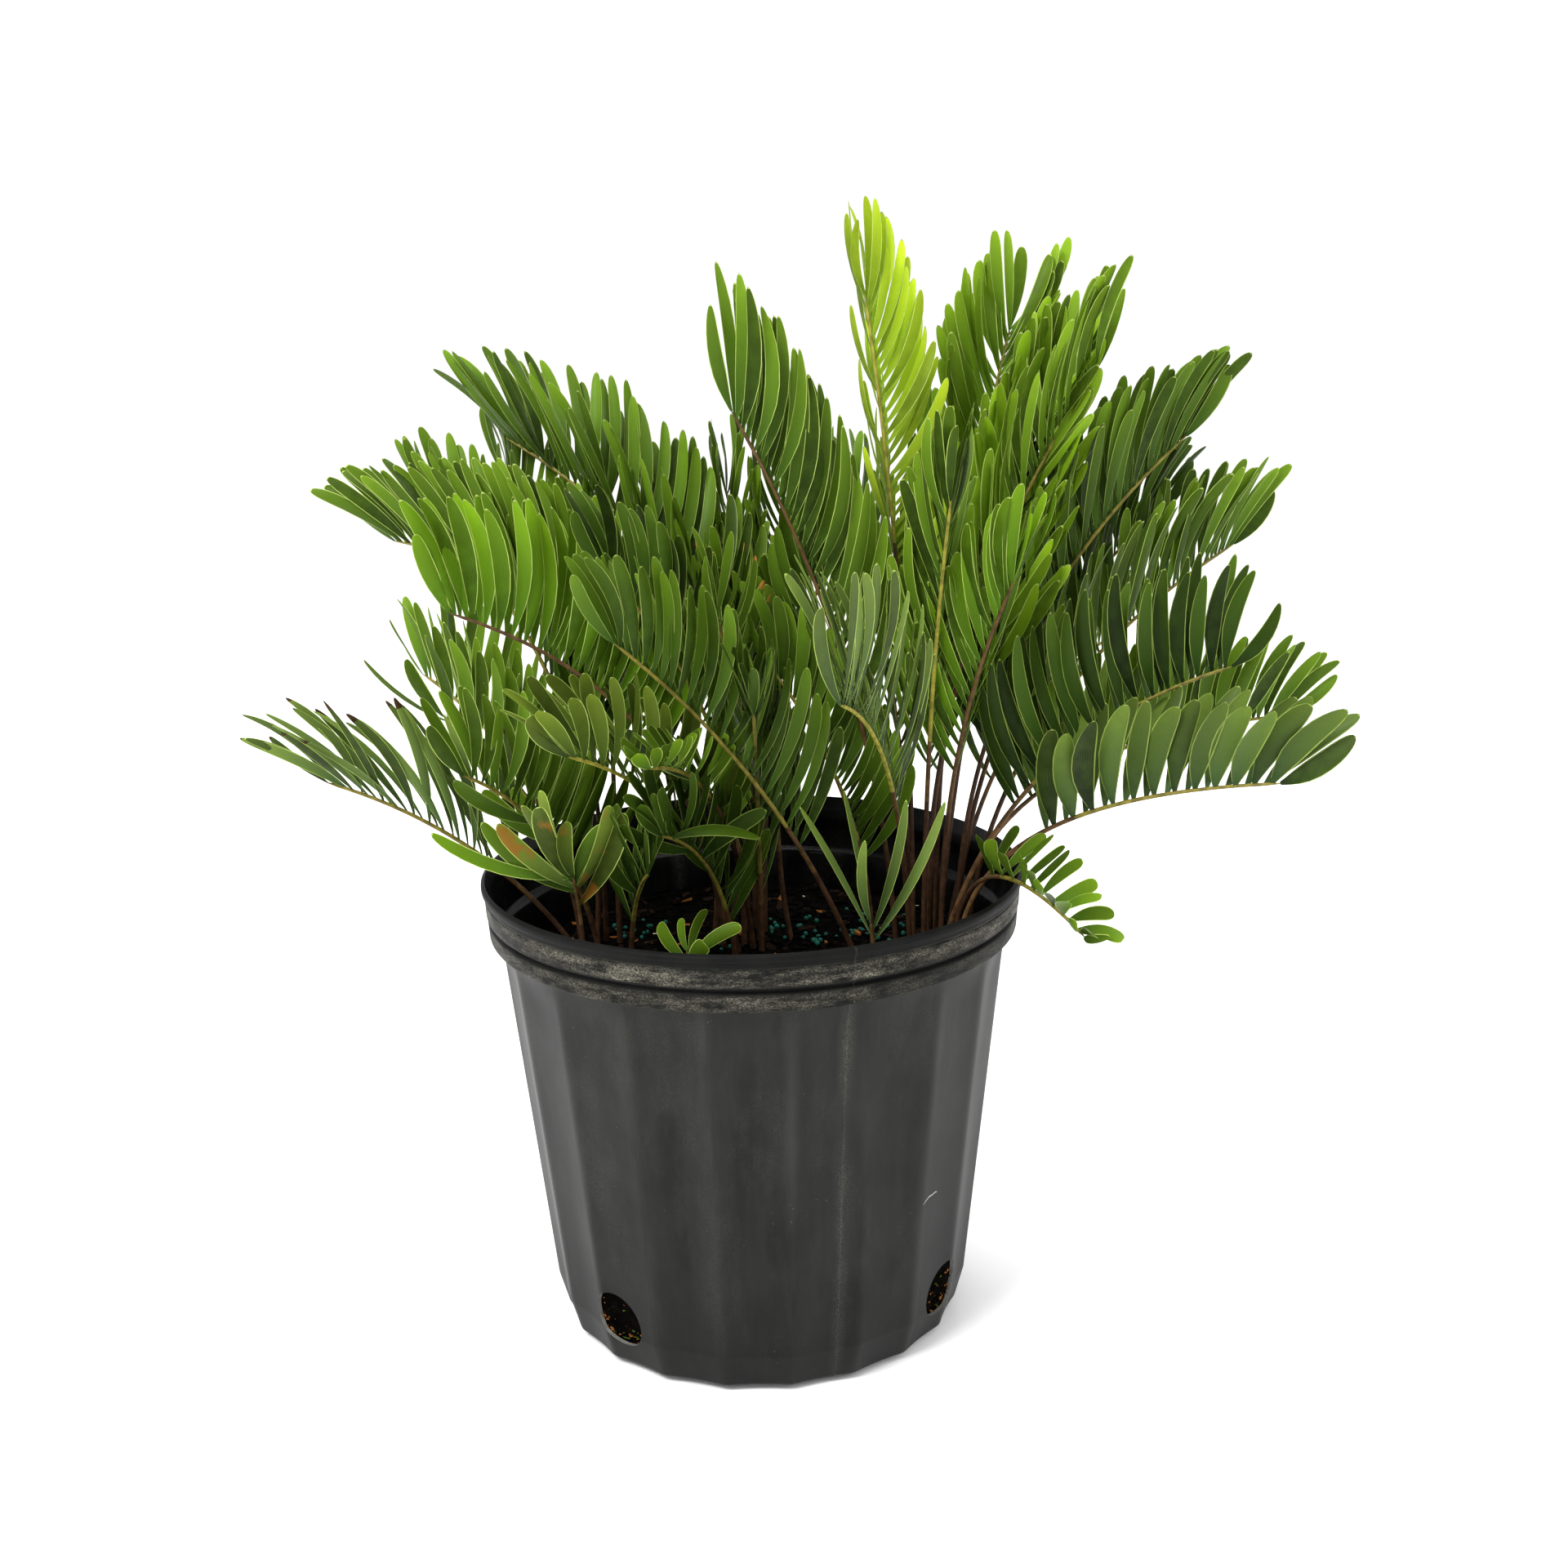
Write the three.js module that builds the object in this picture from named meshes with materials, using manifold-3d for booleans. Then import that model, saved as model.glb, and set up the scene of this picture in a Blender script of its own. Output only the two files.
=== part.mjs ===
// Potted coontie palm: a fluted nursery pot, the potting mix in it, and three crowns of pinnate fronds.
// Millimetres, +Z up. The origin is the centre of the pot's flat underside and the front faces -Y.

import * as THREE from 'three';
import { mergeVertices } from 'three/addons/utils/BufferGeometryUtils.js';
import Module from 'manifold-3d';

const wasm = await Module();
wasm.setup();

// Pot: heights and radii of its thin wall
const potHeight = 244;
const rimRadius = 139.7;
const lipHeight = 5;
const lipRound = 1;
const upperBandRadius = 137.6;
const grooveRadius = 134.6;
const grooveBelowRim = 18;
const grooveHeight = 2;
const lowerBandRadius = 136.4;
const bandHeight = 29;
const bandTaper = 0.6;
const bandEdge = 0.5;
const neckRadius = 131;
const neckHeight = 213;
const heelRadius = 110.5;
const heelHeight = 22;
const footRadius = 98;
const footCornerOut = 7.5;
const footCornerHeight = 4;
const wall = 2;

// Pot: upright flutes round the body
const fluteCount = 20;
const fluteDepth = 2.4;
const fluteFade = 20;
const firstRidge = 8;
const facesPerFlute = 3;
const flutesFromRadius = 55;

// Pot: oval drain holes on the bottom corner, each at its own azimuth and lean in degrees
const drainHoles = [{ azimuth: -41, lean: 40 }, { azimuth: 59, lean: -40 }, { azimuth: 190, lean: 40 }];
const drainWidth = 27;
const drainLength = 31;
const drainHeight = 30;
const drainDepth = 26;
const drainSunk = 2;
const drainSides = 18;

// Potting mix, and the gap that neighbours keep to each other
const soilTop = 194;
const gap = 0.35;
const soilShare = (soilTop - heelHeight) / (neckHeight - heelHeight);
const soilRadius = heelRadius + (neckRadius - heelRadius) * soilShare;

// Fronds: ribs
const ribFootRadius = 2.6;
const ribTipRadius = 1.6;
const ribSides = 3;
const ribSteps = 9;
const footShare = 0.14;

// Fronds: leaflets
const leafletThickness = 1.5;
const leafletSunk = 0.4;
const leafletGap = 0.3;
const leafletTaper = 0.24;
const tipLeafletShare = 0.75;
const tipLeafletLift = 0.5;
const pairStagger = 0.03;
const openJitter = 6;
const riseJitter = 10;
const lengthJitter = 0.1;
const firstSeed = 71;
const seedStep = 13;
const shoulderNear = 0.18;
const shoulderFar = 0.8;

// Ways to make room for a leaflet: the degrees that it leans over, and its share of the full length
const leafletRetries = [[0, 1], [-14, 1], [14, 1], [-26, 0.9], [26, 0.9], [0, 0.72]];

// The three crowns that the fronds rise from
const crowns = { left: [-72, 16], middle: [4, 26], right: [88, 18] };

// Looks of the pot and the mix
const potColor = 0x3a3c3a;
const potRoughness = 0.62;
const mixColor = 0x2a211a;
const mixRoughness = 0.95;
const frondRoughness = 0.55;

// Equal points of a three.js geometry closer than this are one
const weldDistance = 1e-4;

// Forms of frond. Angles in degrees: open is between leaflet and rib, rise is out of the flat of the frond.
// Lift is how strongly the leaflets turn up to the light, and fan is how far they close towards the frond's
// tip. Bare is the share of the rib below the first leaflets, and taper is how much shorter the last are.
const forms = {
  comb: { pairs: 7, length: 64, width: 13, open: 74, rise: 64,
    lift: 0.8, fan: 0.35, bare: 0.4, color: 0x3f7226 },
  plume: { pairs: 7, length: 70, width: 11, open: 36, rise: 40,
    lift: 0.4, fan: 0.6, bare: 0.46, color: 0x4c8a24 },
  fresh: { pairs: 7, length: 80, width: 13, open: 74, rise: 74,
    lift: 1, fan: 0.35, bare: 0.48, color: 0x5fa022 },
  young: { pairs: 6, length: 62, width: 11, open: 40, rise: 48,
    lift: 0.1, fan: 0.6, bare: 0.56, taper: 0.08, color: 0x9cc42a },
  dark: { pairs: 7, length: 68, width: 13, open: 58, rise: 60,
    lift: 0.7, fan: 0.5, bare: 0.4, color: 0x2f5c22 },
  broad: { pairs: 7, length: 58, width: 16, open: 62, rise: 60,
    lift: 0.4, fan: 0.6, bare: 0.42, color: 0x457a32 },
  olive: { pairs: 6, length: 62, width: 14, open: 54, rise: 50,
    lift: 0.5, fan: 0.6, bare: 0.4, color: 0x6a8548 },
  small: { pairs: 5, length: 33, width: 11, open: 58, rise: 40,
    lift: 0.35, fan: 0.5, bare: 0.46, color: 0x457a32 },
  tuft: { pairs: 3, length: 56, width: 12, open: 36, rise: 30,
    lift: 0.3, fan: 0.6, bare: 0.74, color: 0x5d8840 },
};

// One row a frond: the crown that it rises from, where its tip is from there (azimuth from +X towards +Y,
// reach, height over the ground), and its bow over the straight line as a share of that line. Where given,
// bend is where along the line it bows most, ring is how far from the crown's middle it has its foot, roll
// turns its flat about its rib, tipLift is the lift of the leaflet at its tip, and any size of its form may
// be its own.
const fronds = [
  { name: 'frond_top_young', crown: 'right', form: 'young', azimuth: 155, reach: 28,
    height: 530, bow: 0.02, roll: 78 },
  { name: 'frond_right_low', crown: 'right', form: 'broad', azimuth: -27, reach: 188,
    height: 300, bow: 0.17, bend: 0.27, ring: 22, taper: 0, fan: 0.4 },
  { name: 'frond_right_mid', crown: 'right', form: 'comb', azimuth: -18, reach: 158,
    height: 350, bow: 0.13, ring: 13, length: 74, open: 80, lift: 1.1, fan: 0.2 },
  { name: 'frond_left_low', crown: 'left', form: 'dark', azimuth: 204, reach: 147,
    height: 304, bow: 0.08, length: 80, taper: 0.34, open: 34, rise: 58, lift: 0.15, fan: 0.6,
    bare: 0.34, pairs: 5, width: 11 },
  { name: 'frond_front_gray', crown: 'right', form: 'olive', azimuth: 255, reach: 176,
    height: 362, bow: 0.16, length: 84, width: 11, open: 34, rise: 40, lift: 1.1, fan: 0.1,
    taper: 0.06 },
  { name: 'frond_front_left', crown: 'right', form: 'dark', azimuth: 222, reach: 196,
    height: 384, bow: 0.06, bare: 0.34, ring: 45 },
  { name: 'frond_upper_left', crown: 'right', form: 'plume', azimuth: 203, reach: 100,
    height: 478, bow: 0.06, length: 80, open: 42, rise: 72, lift: 0.7, fan: 0.15, tipLift: 1.4,
    taper: 0.08, pairs: 6 },
  { name: 'frond_front_upright', crown: 'right', form: 'plume', azimuth: 277, reach: 80,
    height: 438, bow: 0.06, bare: 0.4, open: 28, pairs: 5 },
  { name: 'frond_left_fresh', crown: 'middle', form: 'fresh', azimuth: 204, reach: 160,
    height: 386, bow: 0.16, tipLift: 1.8 },
  { name: 'frond_left_far', crown: 'middle', form: 'dark', azimuth: 175, reach: 186,
    height: 410, bow: 0.24 },
  { name: 'frond_left_high', crown: 'middle', form: 'dark', azimuth: 156, reach: 143,
    height: 458, bow: 0.2, length: 78 },
  { name: 'frond_right_high', crown: 'right', form: 'comb', azimuth: 16, reach: 148,
    height: 454, bow: 0.12, length: 74, open: 54, lift: 0.5, fan: 0.6 },
  { name: 'frond_right_fresh', crown: 'right', form: 'plume', azimuth: 11, reach: 94,
    height: 492, bow: 0.08, ring: 4, length: 76, open: 46, lift: 0.8, fan: 0.3, pairs: 6 },
  { name: 'frond_back_right', crown: 'right', form: 'dark', azimuth: 54, reach: 92,
    height: 510, bow: 0.06, roll: 36, ring: 16, length: 74, open: 44, rise: 26, lift: 0.5, fan: 0.3 },
  { name: 'frond_left_second', crown: 'left', form: 'dark', azimuth: 152, reach: 104,
    height: 420, bow: 0.14, pairs: 6 },
  { name: 'frond_left_inner', crown: 'left', form: 'comb', azimuth: 179, reach: 86,
    height: 322, bow: 0.12, ring: 20, pairs: 6 },
  { name: 'frond_front_olive', crown: 'middle', form: 'olive', azimuth: 238, reach: 160,
    height: 331, bow: 0.12 },
  { name: 'frond_front_tuft', crown: 'left', form: 'tuft', azimuth: 258, reach: 72,
    height: 256, bow: 0.04, ring: 58, pairs: 2, width: 11 },
  { name: 'frond_front_small', crown: 'middle', form: 'small', azimuth: 253, reach: 160,
    height: 329, bow: 0.16, ring: 15, pairs: 4 },
  { name: 'frond_middle_tipped', crown: 'middle', form: 'comb', azimuth: 254, reach: 68,
    height: 385, bow: 0.1, length: 56, bare: 0.5, ring: 5, pairs: 6 },
  { name: 'frond_middle_back', crown: 'middle', form: 'dark', azimuth: 128, reach: 95,
    height: 415, bow: 0.12, length: 60, pairs: 6 },
  { name: 'frond_middle_back_up', crown: 'middle', form: 'dark', azimuth: 100, reach: 84,
    height: 425, bow: 0.1, length: 60, ring: 22, pairs: 6 },
  { name: 'frond_middle_left', crown: 'middle', form: 'dark', azimuth: 220, reach: 92,
    height: 402, bow: 0.12 },
  { name: 'frond_right_brown', crown: 'right', form: 'plume', azimuth: 300, reach: 81,
    height: 398, bow: 0.08, ring: 20, pairs: 5 },
  { name: 'frond_right_dark', crown: 'right', form: 'dark', azimuth: 31, reach: 158,
    height: 407, bow: 0.14, ring: 24, pairs: 6 },
  { name: 'frond_right_back', crown: 'right', form: 'dark', azimuth: 23, reach: 192,
    height: 392, bow: 0.14, ring: 29, bend: 0.42, length: 72, pairs: 6 },
  { name: 'frond_right_behind', crown: 'right', form: 'comb', azimuth: -1, reach: 190,
    height: 314, bow: 0.2, length: 54, bend: 0.34, ring: 18, pairs: 6 },
  { name: 'frond_right_small', crown: 'right', form: 'small', azimuth: -61, reach: 142,
    height: 238, bow: 0.31, bend: 0.36, ring: 30, pairs: 4 },
  { name: 'frond_front_sprig', crown: 'right', form: 'tuft', azimuth: 250, reach: 86,
    height: 232, bow: 0.02, ring: 78, length: 74, width: 8, open: 26, lift: 0, pairs: 2 },
  { name: 'frond_back_left_low', crown: 'left', form: 'comb', azimuth: 146, reach: 130,
    height: 330, bow: 0.14, ring: 25, pairs: 5 },
  { name: 'frond_back_left', crown: 'left', form: 'dark', azimuth: 122, reach: 110,
    height: 432, bow: 0.12, pairs: 5 },
  { name: 'frond_back_middle_low', crown: 'middle', form: 'comb', azimuth: 94, reach: 172,
    height: 345, bow: 0.16, ring: 31, pairs: 5 },
  { name: 'frond_back_middle', crown: 'middle', form: 'dark', azimuth: 78, reach: 104,
    height: 440, bow: 0.08, ring: 7, pairs: 5 },
  { name: 'frond_back_right_low', crown: 'right', form: 'comb', azimuth: 74, reach: 165,
    height: 340, bow: 0.16, pairs: 5 },
  { name: 'frond_back_right_mid', crown: 'right', form: 'dark', azimuth: 104, reach: 120,
    height: 410, bow: 0.12, pairs: 5 },
  { name: 'frond_back_left_far', crown: 'middle', form: 'dark', azimuth: 138, reach: 182,
    height: 352, bow: 0.16, pairs: 5 },
  { name: 'frond_back_right_far', crown: 'right', form: 'dark', azimuth: 48, reach: 178,
    height: 330, bow: 0.16, pairs: 5 },
  { name: 'frond_back_left_high', crown: 'left', form: 'dark', azimuth: 92, reach: 76,
    height: 424, bow: 0.1, pairs: 5 },
  { name: 'frond_back_middle_far', crown: 'middle', form: 'comb', azimuth: 116, reach: 148,
    height: 392, bow: 0.14, pairs: 5 },
  { name: 'frond_back_right_out', crown: 'right', form: 'plume', azimuth: 24, reach: 78,
    height: 478, bow: 0.04, roll: 66, ring: 12, open: 46, rise: 34, lift: 0.5, fan: 0.4, pairs: 6 },
  { name: 'frond_front_left_low', crown: 'left', form: 'comb', azimuth: 232, reach: 104,
    height: 312, bow: 0.12, pairs: 6, length: 62 },
  { name: 'frond_front_dark', crown: 'middle', form: 'dark', azimuth: 270, reach: 118,
    height: 345, bow: 0.14, length: 58, ring: 24, pairs: 6 },
  { name: 'frond_front_low', crown: 'middle', form: 'dark', azimuth: 247, reach: 116,
    height: 284, bow: 0.14, length: 54, ring: 34, pairs: 5 },
  { name: 'frond_front_low_left', crown: 'left', form: 'dark', azimuth: 285, reach: 90,
    height: 262, bow: 0.12, length: 50, ring: 30, pairs: 4 },
  { name: 'frond_right_inner', crown: 'right', form: 'dark', azimuth: 194, reach: 80,
    height: 350, bow: 0.08, length: 62, bare: 0.3, ring: 26, pairs: 6 },
  { name: 'frond_middle_right', crown: 'middle', form: 'dark', azimuth: 352, reach: 44,
    height: 410, bow: 0.08, length: 62, bare: 0.3, ring: 16, pairs: 6 },
];

const radians = THREE.MathUtils.degToRad;
const up = new THREE.Vector3(0, 0, 1);

// A seeded run of numbers from 0 to 1
function makeRandom(seed) {
  const multiplier = 1664525;
  const increment = 1013904223;
  const span = 2 ** 32;
  let state = seed;
  return () => {
    state = (Math.imul(state, multiplier) + increment) >>> 0;
    return state / span;
  };
}

// A closed three.js geometry as a solid that can be joined and cut
function solidOf(geometry) {
  const bare = geometry.clone();
  bare.deleteAttribute('normal');
  bare.deleteAttribute('uv');
  const merged = mergeVertices(bare, weldDistance);
  return new wasm.Manifold(new wasm.Mesh({
    numProp: 3,
    vertProperties: new Float32Array(merged.attributes.position.array),
    triVerts: new Uint32Array(merged.index.array),
  }));
}

// A solid as a three.js geometry
function geometryOf(solid) {
  const mesh = solid.getMesh();
  const geometry = new THREE.BufferGeometry();
  geometry.setAttribute('position', new THREE.BufferAttribute(new Float32Array(mesh.vertProperties), 3));
  geometry.setIndex(Array.from(mesh.triVerts));
  geometry.computeVertexNormals();
  return geometry;
}

function makeMesh(name, geometry, color, roughness) {
  const material = new THREE.MeshStandardMaterial({ color, roughness, metalness: 0 });
  const mesh = new THREE.Mesh(geometry, material);
  mesh.name = name;
  return mesh;
}

// How far a flute cuts into the wall at a height and an azimuth from the front
function fluteCut(height, azimuth) {
  const bodyTop = potHeight - bandHeight;
  const fade = THREE.MathUtils.clamp((bodyTop - height) / fluteFade, 0, 1);
  const turn = (azimuth - radians(firstRidge)) * fluteCount / (2 * Math.PI);
  const across = turn - Math.floor(turn);
  return fluteDepth * fade * 4 * across * (1 - across);
}

// A profile of [radius, height] points turned round the axis, with the body's flutes pressed into it
function turnedFluted(profile) {
  const points = profile.map(([radius, height]) => new THREE.Vector2(radius, height));
  const segments = fluteCount * facesPerFlute;
  const geometry = new THREE.LatheGeometry(points, segments, radians(firstRidge), 2 * Math.PI);
  geometry.rotateX(Math.PI / 2);
  const position = geometry.attributes.position;
  for (let i = 0; i < position.count; i += 1) {
    const x = position.getX(i);
    const y = position.getY(i);
    const radius = Math.hypot(x, y);
    if (radius > flutesFromRadius) {
      const scale = 1 - fluteCut(position.getZ(i), Math.atan2(x, -y)) / radius;
      position.setXY(i, x * scale, y * scale);
    }
  }
  return geometry;
}

// Outer face of the pot from the foot to the rim, moved in by an offset
function potSide(offset) {
  const groove = potHeight - grooveBelowRim;
  const bandBottom = potHeight - bandHeight;
  return [
    [footRadius - offset, offset],
    [footRadius + footCornerOut - offset, footCornerHeight + offset],
    [heelRadius - offset, heelHeight],
    [soilRadius - offset, soilTop],
    [neckRadius - offset, neckHeight],
    [lowerBandRadius - offset, bandBottom],
    [lowerBandRadius + bandTaper - offset, groove - grooveHeight - bandEdge],
    [grooveRadius - offset, groove - grooveHeight / 2],
    [upperBandRadius - offset, groove + bandEdge],
    [upperBandRadius + bandTaper - offset, potHeight - lipHeight],
    [rimRadius - offset, potHeight - lipHeight + lipRound],
  ];
}

// One oval cutter, pointing out and a little down through the bottom corner
function drainCutter({ azimuth, lean }) {
  const cutter = new THREE.CylinderGeometry(0.5, 0.5, drainDepth, drainSides);
  cutter.scale(drainWidth, 1, drainLength);
  cutter.rotateY(radians(lean));
  cutter.translate(0, heelRadius - drainSunk, 0);
  cutter.rotateZ(radians(azimuth) - Math.PI);
  cutter.translate(0, 0, drainHeight);
  return solidOf(cutter);
}

function makePot() {
  const bandBottom = potHeight - bandHeight;
  const outer = potSide(0);
  const inner = potSide(wall).filter(([, height]) => height < bandBottom).reverse();
  const rim = [[rimRadius, potHeight - lipRound], [rimRadius - wall, potHeight]];
  const bandInside = [
    [upperBandRadius - wall, potHeight - lipHeight],
    [grooveRadius - wall, bandBottom],
  ];
  const profile = [[0, 0], ...outer, ...rim, ...bandInside, ...inner, [0, wall]];
  let solid = solidOf(turnedFluted(profile));
  for (const hole of drainHoles) {
    solid = solid.subtract(drainCutter(hole));
  }
  return solid;
}

// The mix fills the pot to below its bands, clear of the wall all round
function makePottingMix() {
  const side = potSide(wall + gap).filter(([, height]) => height <= soilTop);
  return solidOf(turnedFluted([[0, wall + gap], ...side, [0, soilTop]]));
}

// The curve of a frond's rib from its foot on the mix to its tip
function ribCurve(row) {
  const [crownX, crownY] = crowns[row.crown];
  const way = new THREE.Vector3(Math.cos(radians(row.azimuth)), Math.sin(radians(row.azimuth)), 0);
  const spread = row.ring ?? footShare * row.reach;
  const foot = new THREE.Vector3(crownX, crownY, soilTop + gap).addScaledVector(way, spread);
  const tip = new THREE.Vector3(crownX, crownY, row.height).addScaledVector(way, row.reach);
  const line = tip.clone().sub(foot);
  const side = new THREE.Vector3().crossVectors(up, way);
  const normal = new THREE.Vector3().crossVectors(line, side).normalize();
  const middle = foot.clone().lerp(tip, row.bend ?? 0.5).addScaledVector(normal, 2 * row.bow * line.length());
  return { curve: new THREE.QuadraticBezierCurve3(foot, middle, tip), side };
}

// The rib's frame at a share of its length: place on the straight run between two of its sections, way
// along, sideways, and out of the flat
function ribFrame({ curve, side }, share, roll) {
  const section = Math.min(Math.floor(share * ribSteps), ribSteps - 1);
  const from = curve.getPointAt(section / ribSteps);
  const to = curve.getPointAt((section + 1) / ribSteps);
  const place = from.lerp(to, share * ribSteps - section);
  const along = curve.getTangentAt(share);
  const across = side.clone().addScaledVector(along, -side.dot(along)).normalize();
  across.applyAxisAngle(along, radians(roll));
  const out = new THREE.Vector3().crossVectors(along, across);
  return { place, along, across, out };
}

function makeRib(rib) {
  const tube = new THREE.CylinderGeometry(ribTipRadius, ribFootRadius, 1, ribSides, ribSteps);
  const position = tube.attributes.position;
  for (let i = 0; i < position.count; i += 1) {
    const share = THREE.MathUtils.clamp(position.getY(i) + 0.5, 0, 1);
    const frame = ribFrame(rib, share, 0);
    const level = share === 0;
    const across = level ? rib.side : frame.across;
    const out = level ? new THREE.Vector3().crossVectors(up, rib.side) : frame.out;
    const point = frame.place.clone();
    point.addScaledVector(across, position.getX(i));
    point.addScaledVector(out, -position.getZ(i));
    position.setXYZ(i, point.x, point.y, point.z);
  }
  return solidOf(tube);
}

// A strap-shaped leaflet of eight faces: an octahedron whose corners go to a long hexagon's corners
function makeLeaflet(place, along, flat, length, width, thickness) {
  const across = flat.clone().addScaledVector(along, -flat.dot(along)).normalize();
  const face = new THREE.Vector3().crossVectors(along, across);
  const half = thickness / 2;
  const near = shoulderNear * length;
  const far = shoulderFar * length;
  const leaflet = new THREE.OctahedronGeometry(1);
  const position = leaflet.attributes.position;
  for (let i = 0; i < position.count; i += 1) {
    const corner = new THREE.Vector3().fromBufferAttribute(position, i).round();
    const high = corner.x + corner.y + corner.z > 0;
    const side = corner.y - corner.z;
    let reach = high ? far : near;
    if (corner.x !== 0) reach = high ? 0 : length;
    const point = place.clone();
    point.addScaledVector(along, reach - leafletSunk);
    point.addScaledVector(across, -side * width / 2);
    point.addScaledVector(face, high ? half : -half);
    position.setXYZ(i, point.x, point.y, point.z);
  }
  return solidOf(leaflet);
}

function boxOf(solid) {
  const { min, max } = solid.boundingBox();
  return new THREE.Box3(new THREE.Vector3(...min), new THREE.Vector3(...max));
}

// Whether a solid touches any of the solids that another frond, or the pot, has put there
function touches(solid, taken, frondName) {
  const box = boxOf(solid);
  return taken.some((other) => other.frond !== frondName && other.box.intersectsBox(box)
    && !other.solid.intersect(solid).isEmpty());
}

// The leaflets of one frond: pairs from the end of the bare stalk to the tip, and one at the tip
function* leafletPlans(row, rib, seed) {
  const form = { ...forms[row.form], ...row };
  const random = makeRandom(seed);
  const last = form.pairs;
  for (let pair = 0; pair <= last; pair += 1) {
    const outward = pair / last;
    const closing = 1 - form.fan * outward ** 2;
    const sides = pair === last ? [0] : [1, -1];
    for (const side of sides) {
      const atTip = side === 0;
      const jitter = [random() - 0.5, random() - 0.5, random() - 0.5];
      const share = form.bare + (1 - form.bare) * Math.min(1, outward + (side < 0 ? pairStagger : 0));
      const tapering = 1 - (form.taper ?? leafletTaper) * outward ** 2;
      yield {
        frame: ribFrame(rib, share, form.roll ?? 0),
        side,
        open: atTip ? 0 : form.open * closing + openJitter * jitter[0],
        rise: form.rise + riseJitter * jitter[1],
        lift: form.lift * closing + (atTip ? form.tipLift ?? tipLeafletLift : 0),
        length: form.length * tapering * (atTip ? tipLeafletShare : 1) * (1 + lengthJitter * jitter[2]),
        width: form.width,
      };
    }
  }
}

// The leaflet that a plan asks for, leaning in or out or shorter where it would touch another frond. A
// leaflet at the rib's side is broad along the rib, and the one at its tip is broad the way that it rises.
function fitLeaflet(plan, taken, frondName) {
  const { along, across, out, place } = plan.frame;
  for (const [lean, scale] of leafletRetries) {
    const open = radians(plan.open);
    const rise = radians(plan.rise + lean);
    const flat = plan.side === 0 ? across.clone().multiplyScalar(Math.cos(rise)) : along;
    if (plan.side === 0) flat.addScaledVector(out, Math.sin(rise));
    const way = along.clone().multiplyScalar(Math.cos(open));
    way.addScaledVector(across, Math.sin(open) * Math.cos(rise) * plan.side);
    way.addScaledVector(out, Math.sin(open) * Math.sin(rise));
    way.addScaledVector(up, plan.lift).normalize();
    const length = plan.length * scale;
    const reach = length + leafletGap;
    const broad = plan.width + 2 * leafletGap;
    const thick = leafletThickness + 2 * leafletGap;
    const room = makeLeaflet(place, way, flat, reach, broad, thick);
    if (!touches(room, taken, frondName)) {
      return makeLeaflet(place, way, flat, length, plan.width, leafletThickness);
    }
  }
  return null;
}

const palm = new THREE.Group();
const pot = makePot();
const pottingMix = makePottingMix();
palm.add(makeMesh('pot', geometryOf(pot), potColor, potRoughness));
palm.add(makeMesh('potting_mix', geometryOf(pottingMix), mixColor, mixRoughness));

const ribs = fronds.map(ribCurve);
const taken = [{ frond: 'pot', solid: pot, box: boxOf(pot) }];
const ribSolids = ribs.map(makeRib);
fronds.forEach((row, index) => {
  taken.push({ frond: row.name, solid: ribSolids[index], box: boxOf(ribSolids[index]) });
});

fronds.forEach((row, index) => {
  const pieces = [ribSolids[index]];
  for (const plan of leafletPlans(row, ribs[index], firstSeed + seedStep * index)) {
    const leaflet = fitLeaflet(plan, taken, row.name);
    if (leaflet !== null) {
      pieces.push(leaflet);
      taken.push({ frond: row.name, solid: leaflet, box: boxOf(leaflet) });
    }
  }
  const frond = pieces.reduce((whole, piece) => whole.add(piece));
  palm.add(makeMesh(row.name, geometryOf(frond), forms[row.form].color, frondRoughness));
});

export default palm;
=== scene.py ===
"""Potted coontie palm: the looks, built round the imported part.

Tables and shapes are in millimetres and degrees, as the part's source has them. Meshes are in metres.
"""

import math
import random

import bpy
from mathutils import Matrix, Vector, noise


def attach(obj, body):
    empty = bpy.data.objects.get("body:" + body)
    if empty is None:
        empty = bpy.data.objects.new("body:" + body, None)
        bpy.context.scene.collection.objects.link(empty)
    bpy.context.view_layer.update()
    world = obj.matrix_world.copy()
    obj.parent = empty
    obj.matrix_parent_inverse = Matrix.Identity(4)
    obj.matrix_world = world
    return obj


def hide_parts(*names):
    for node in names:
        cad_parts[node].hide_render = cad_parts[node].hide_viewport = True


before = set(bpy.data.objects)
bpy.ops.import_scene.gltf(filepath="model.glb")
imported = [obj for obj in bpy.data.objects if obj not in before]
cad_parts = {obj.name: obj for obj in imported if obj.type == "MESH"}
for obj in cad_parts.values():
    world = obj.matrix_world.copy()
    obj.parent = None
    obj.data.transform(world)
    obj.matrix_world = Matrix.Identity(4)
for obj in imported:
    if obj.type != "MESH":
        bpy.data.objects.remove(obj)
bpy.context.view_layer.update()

MM = 0.001
UP = Vector((0, 0, 1))
FRONT = Vector((0, -1, 0))

# Camera, fitted to the pot's rim, bands and foot
CAMERA_PLACE = (17.4, -1013.0, 557.2)
CAMERA_PITCH = 14.94
CAMERA_ROLL = -1.185
CAMERA_LENS = 46.9
CAMERA_SENSOR = 36.0

# Studio, in metres: each light's name, place, size and power, their aim, and the strength of the surround
LIGHTS = (
    ("key", (-0.9, -1.1, 1.7), 0.7, 42),
    ("fill", (1.3, -0.7, 1.1), 0.8, 6),
    ("top", (0.1, 0.5, 1.9), 0.8, 20),
)
LIGHT_AIM = (0, 0, 0.28)
SURROUND = 1.06
FLOOR_REACH = 6000

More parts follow.
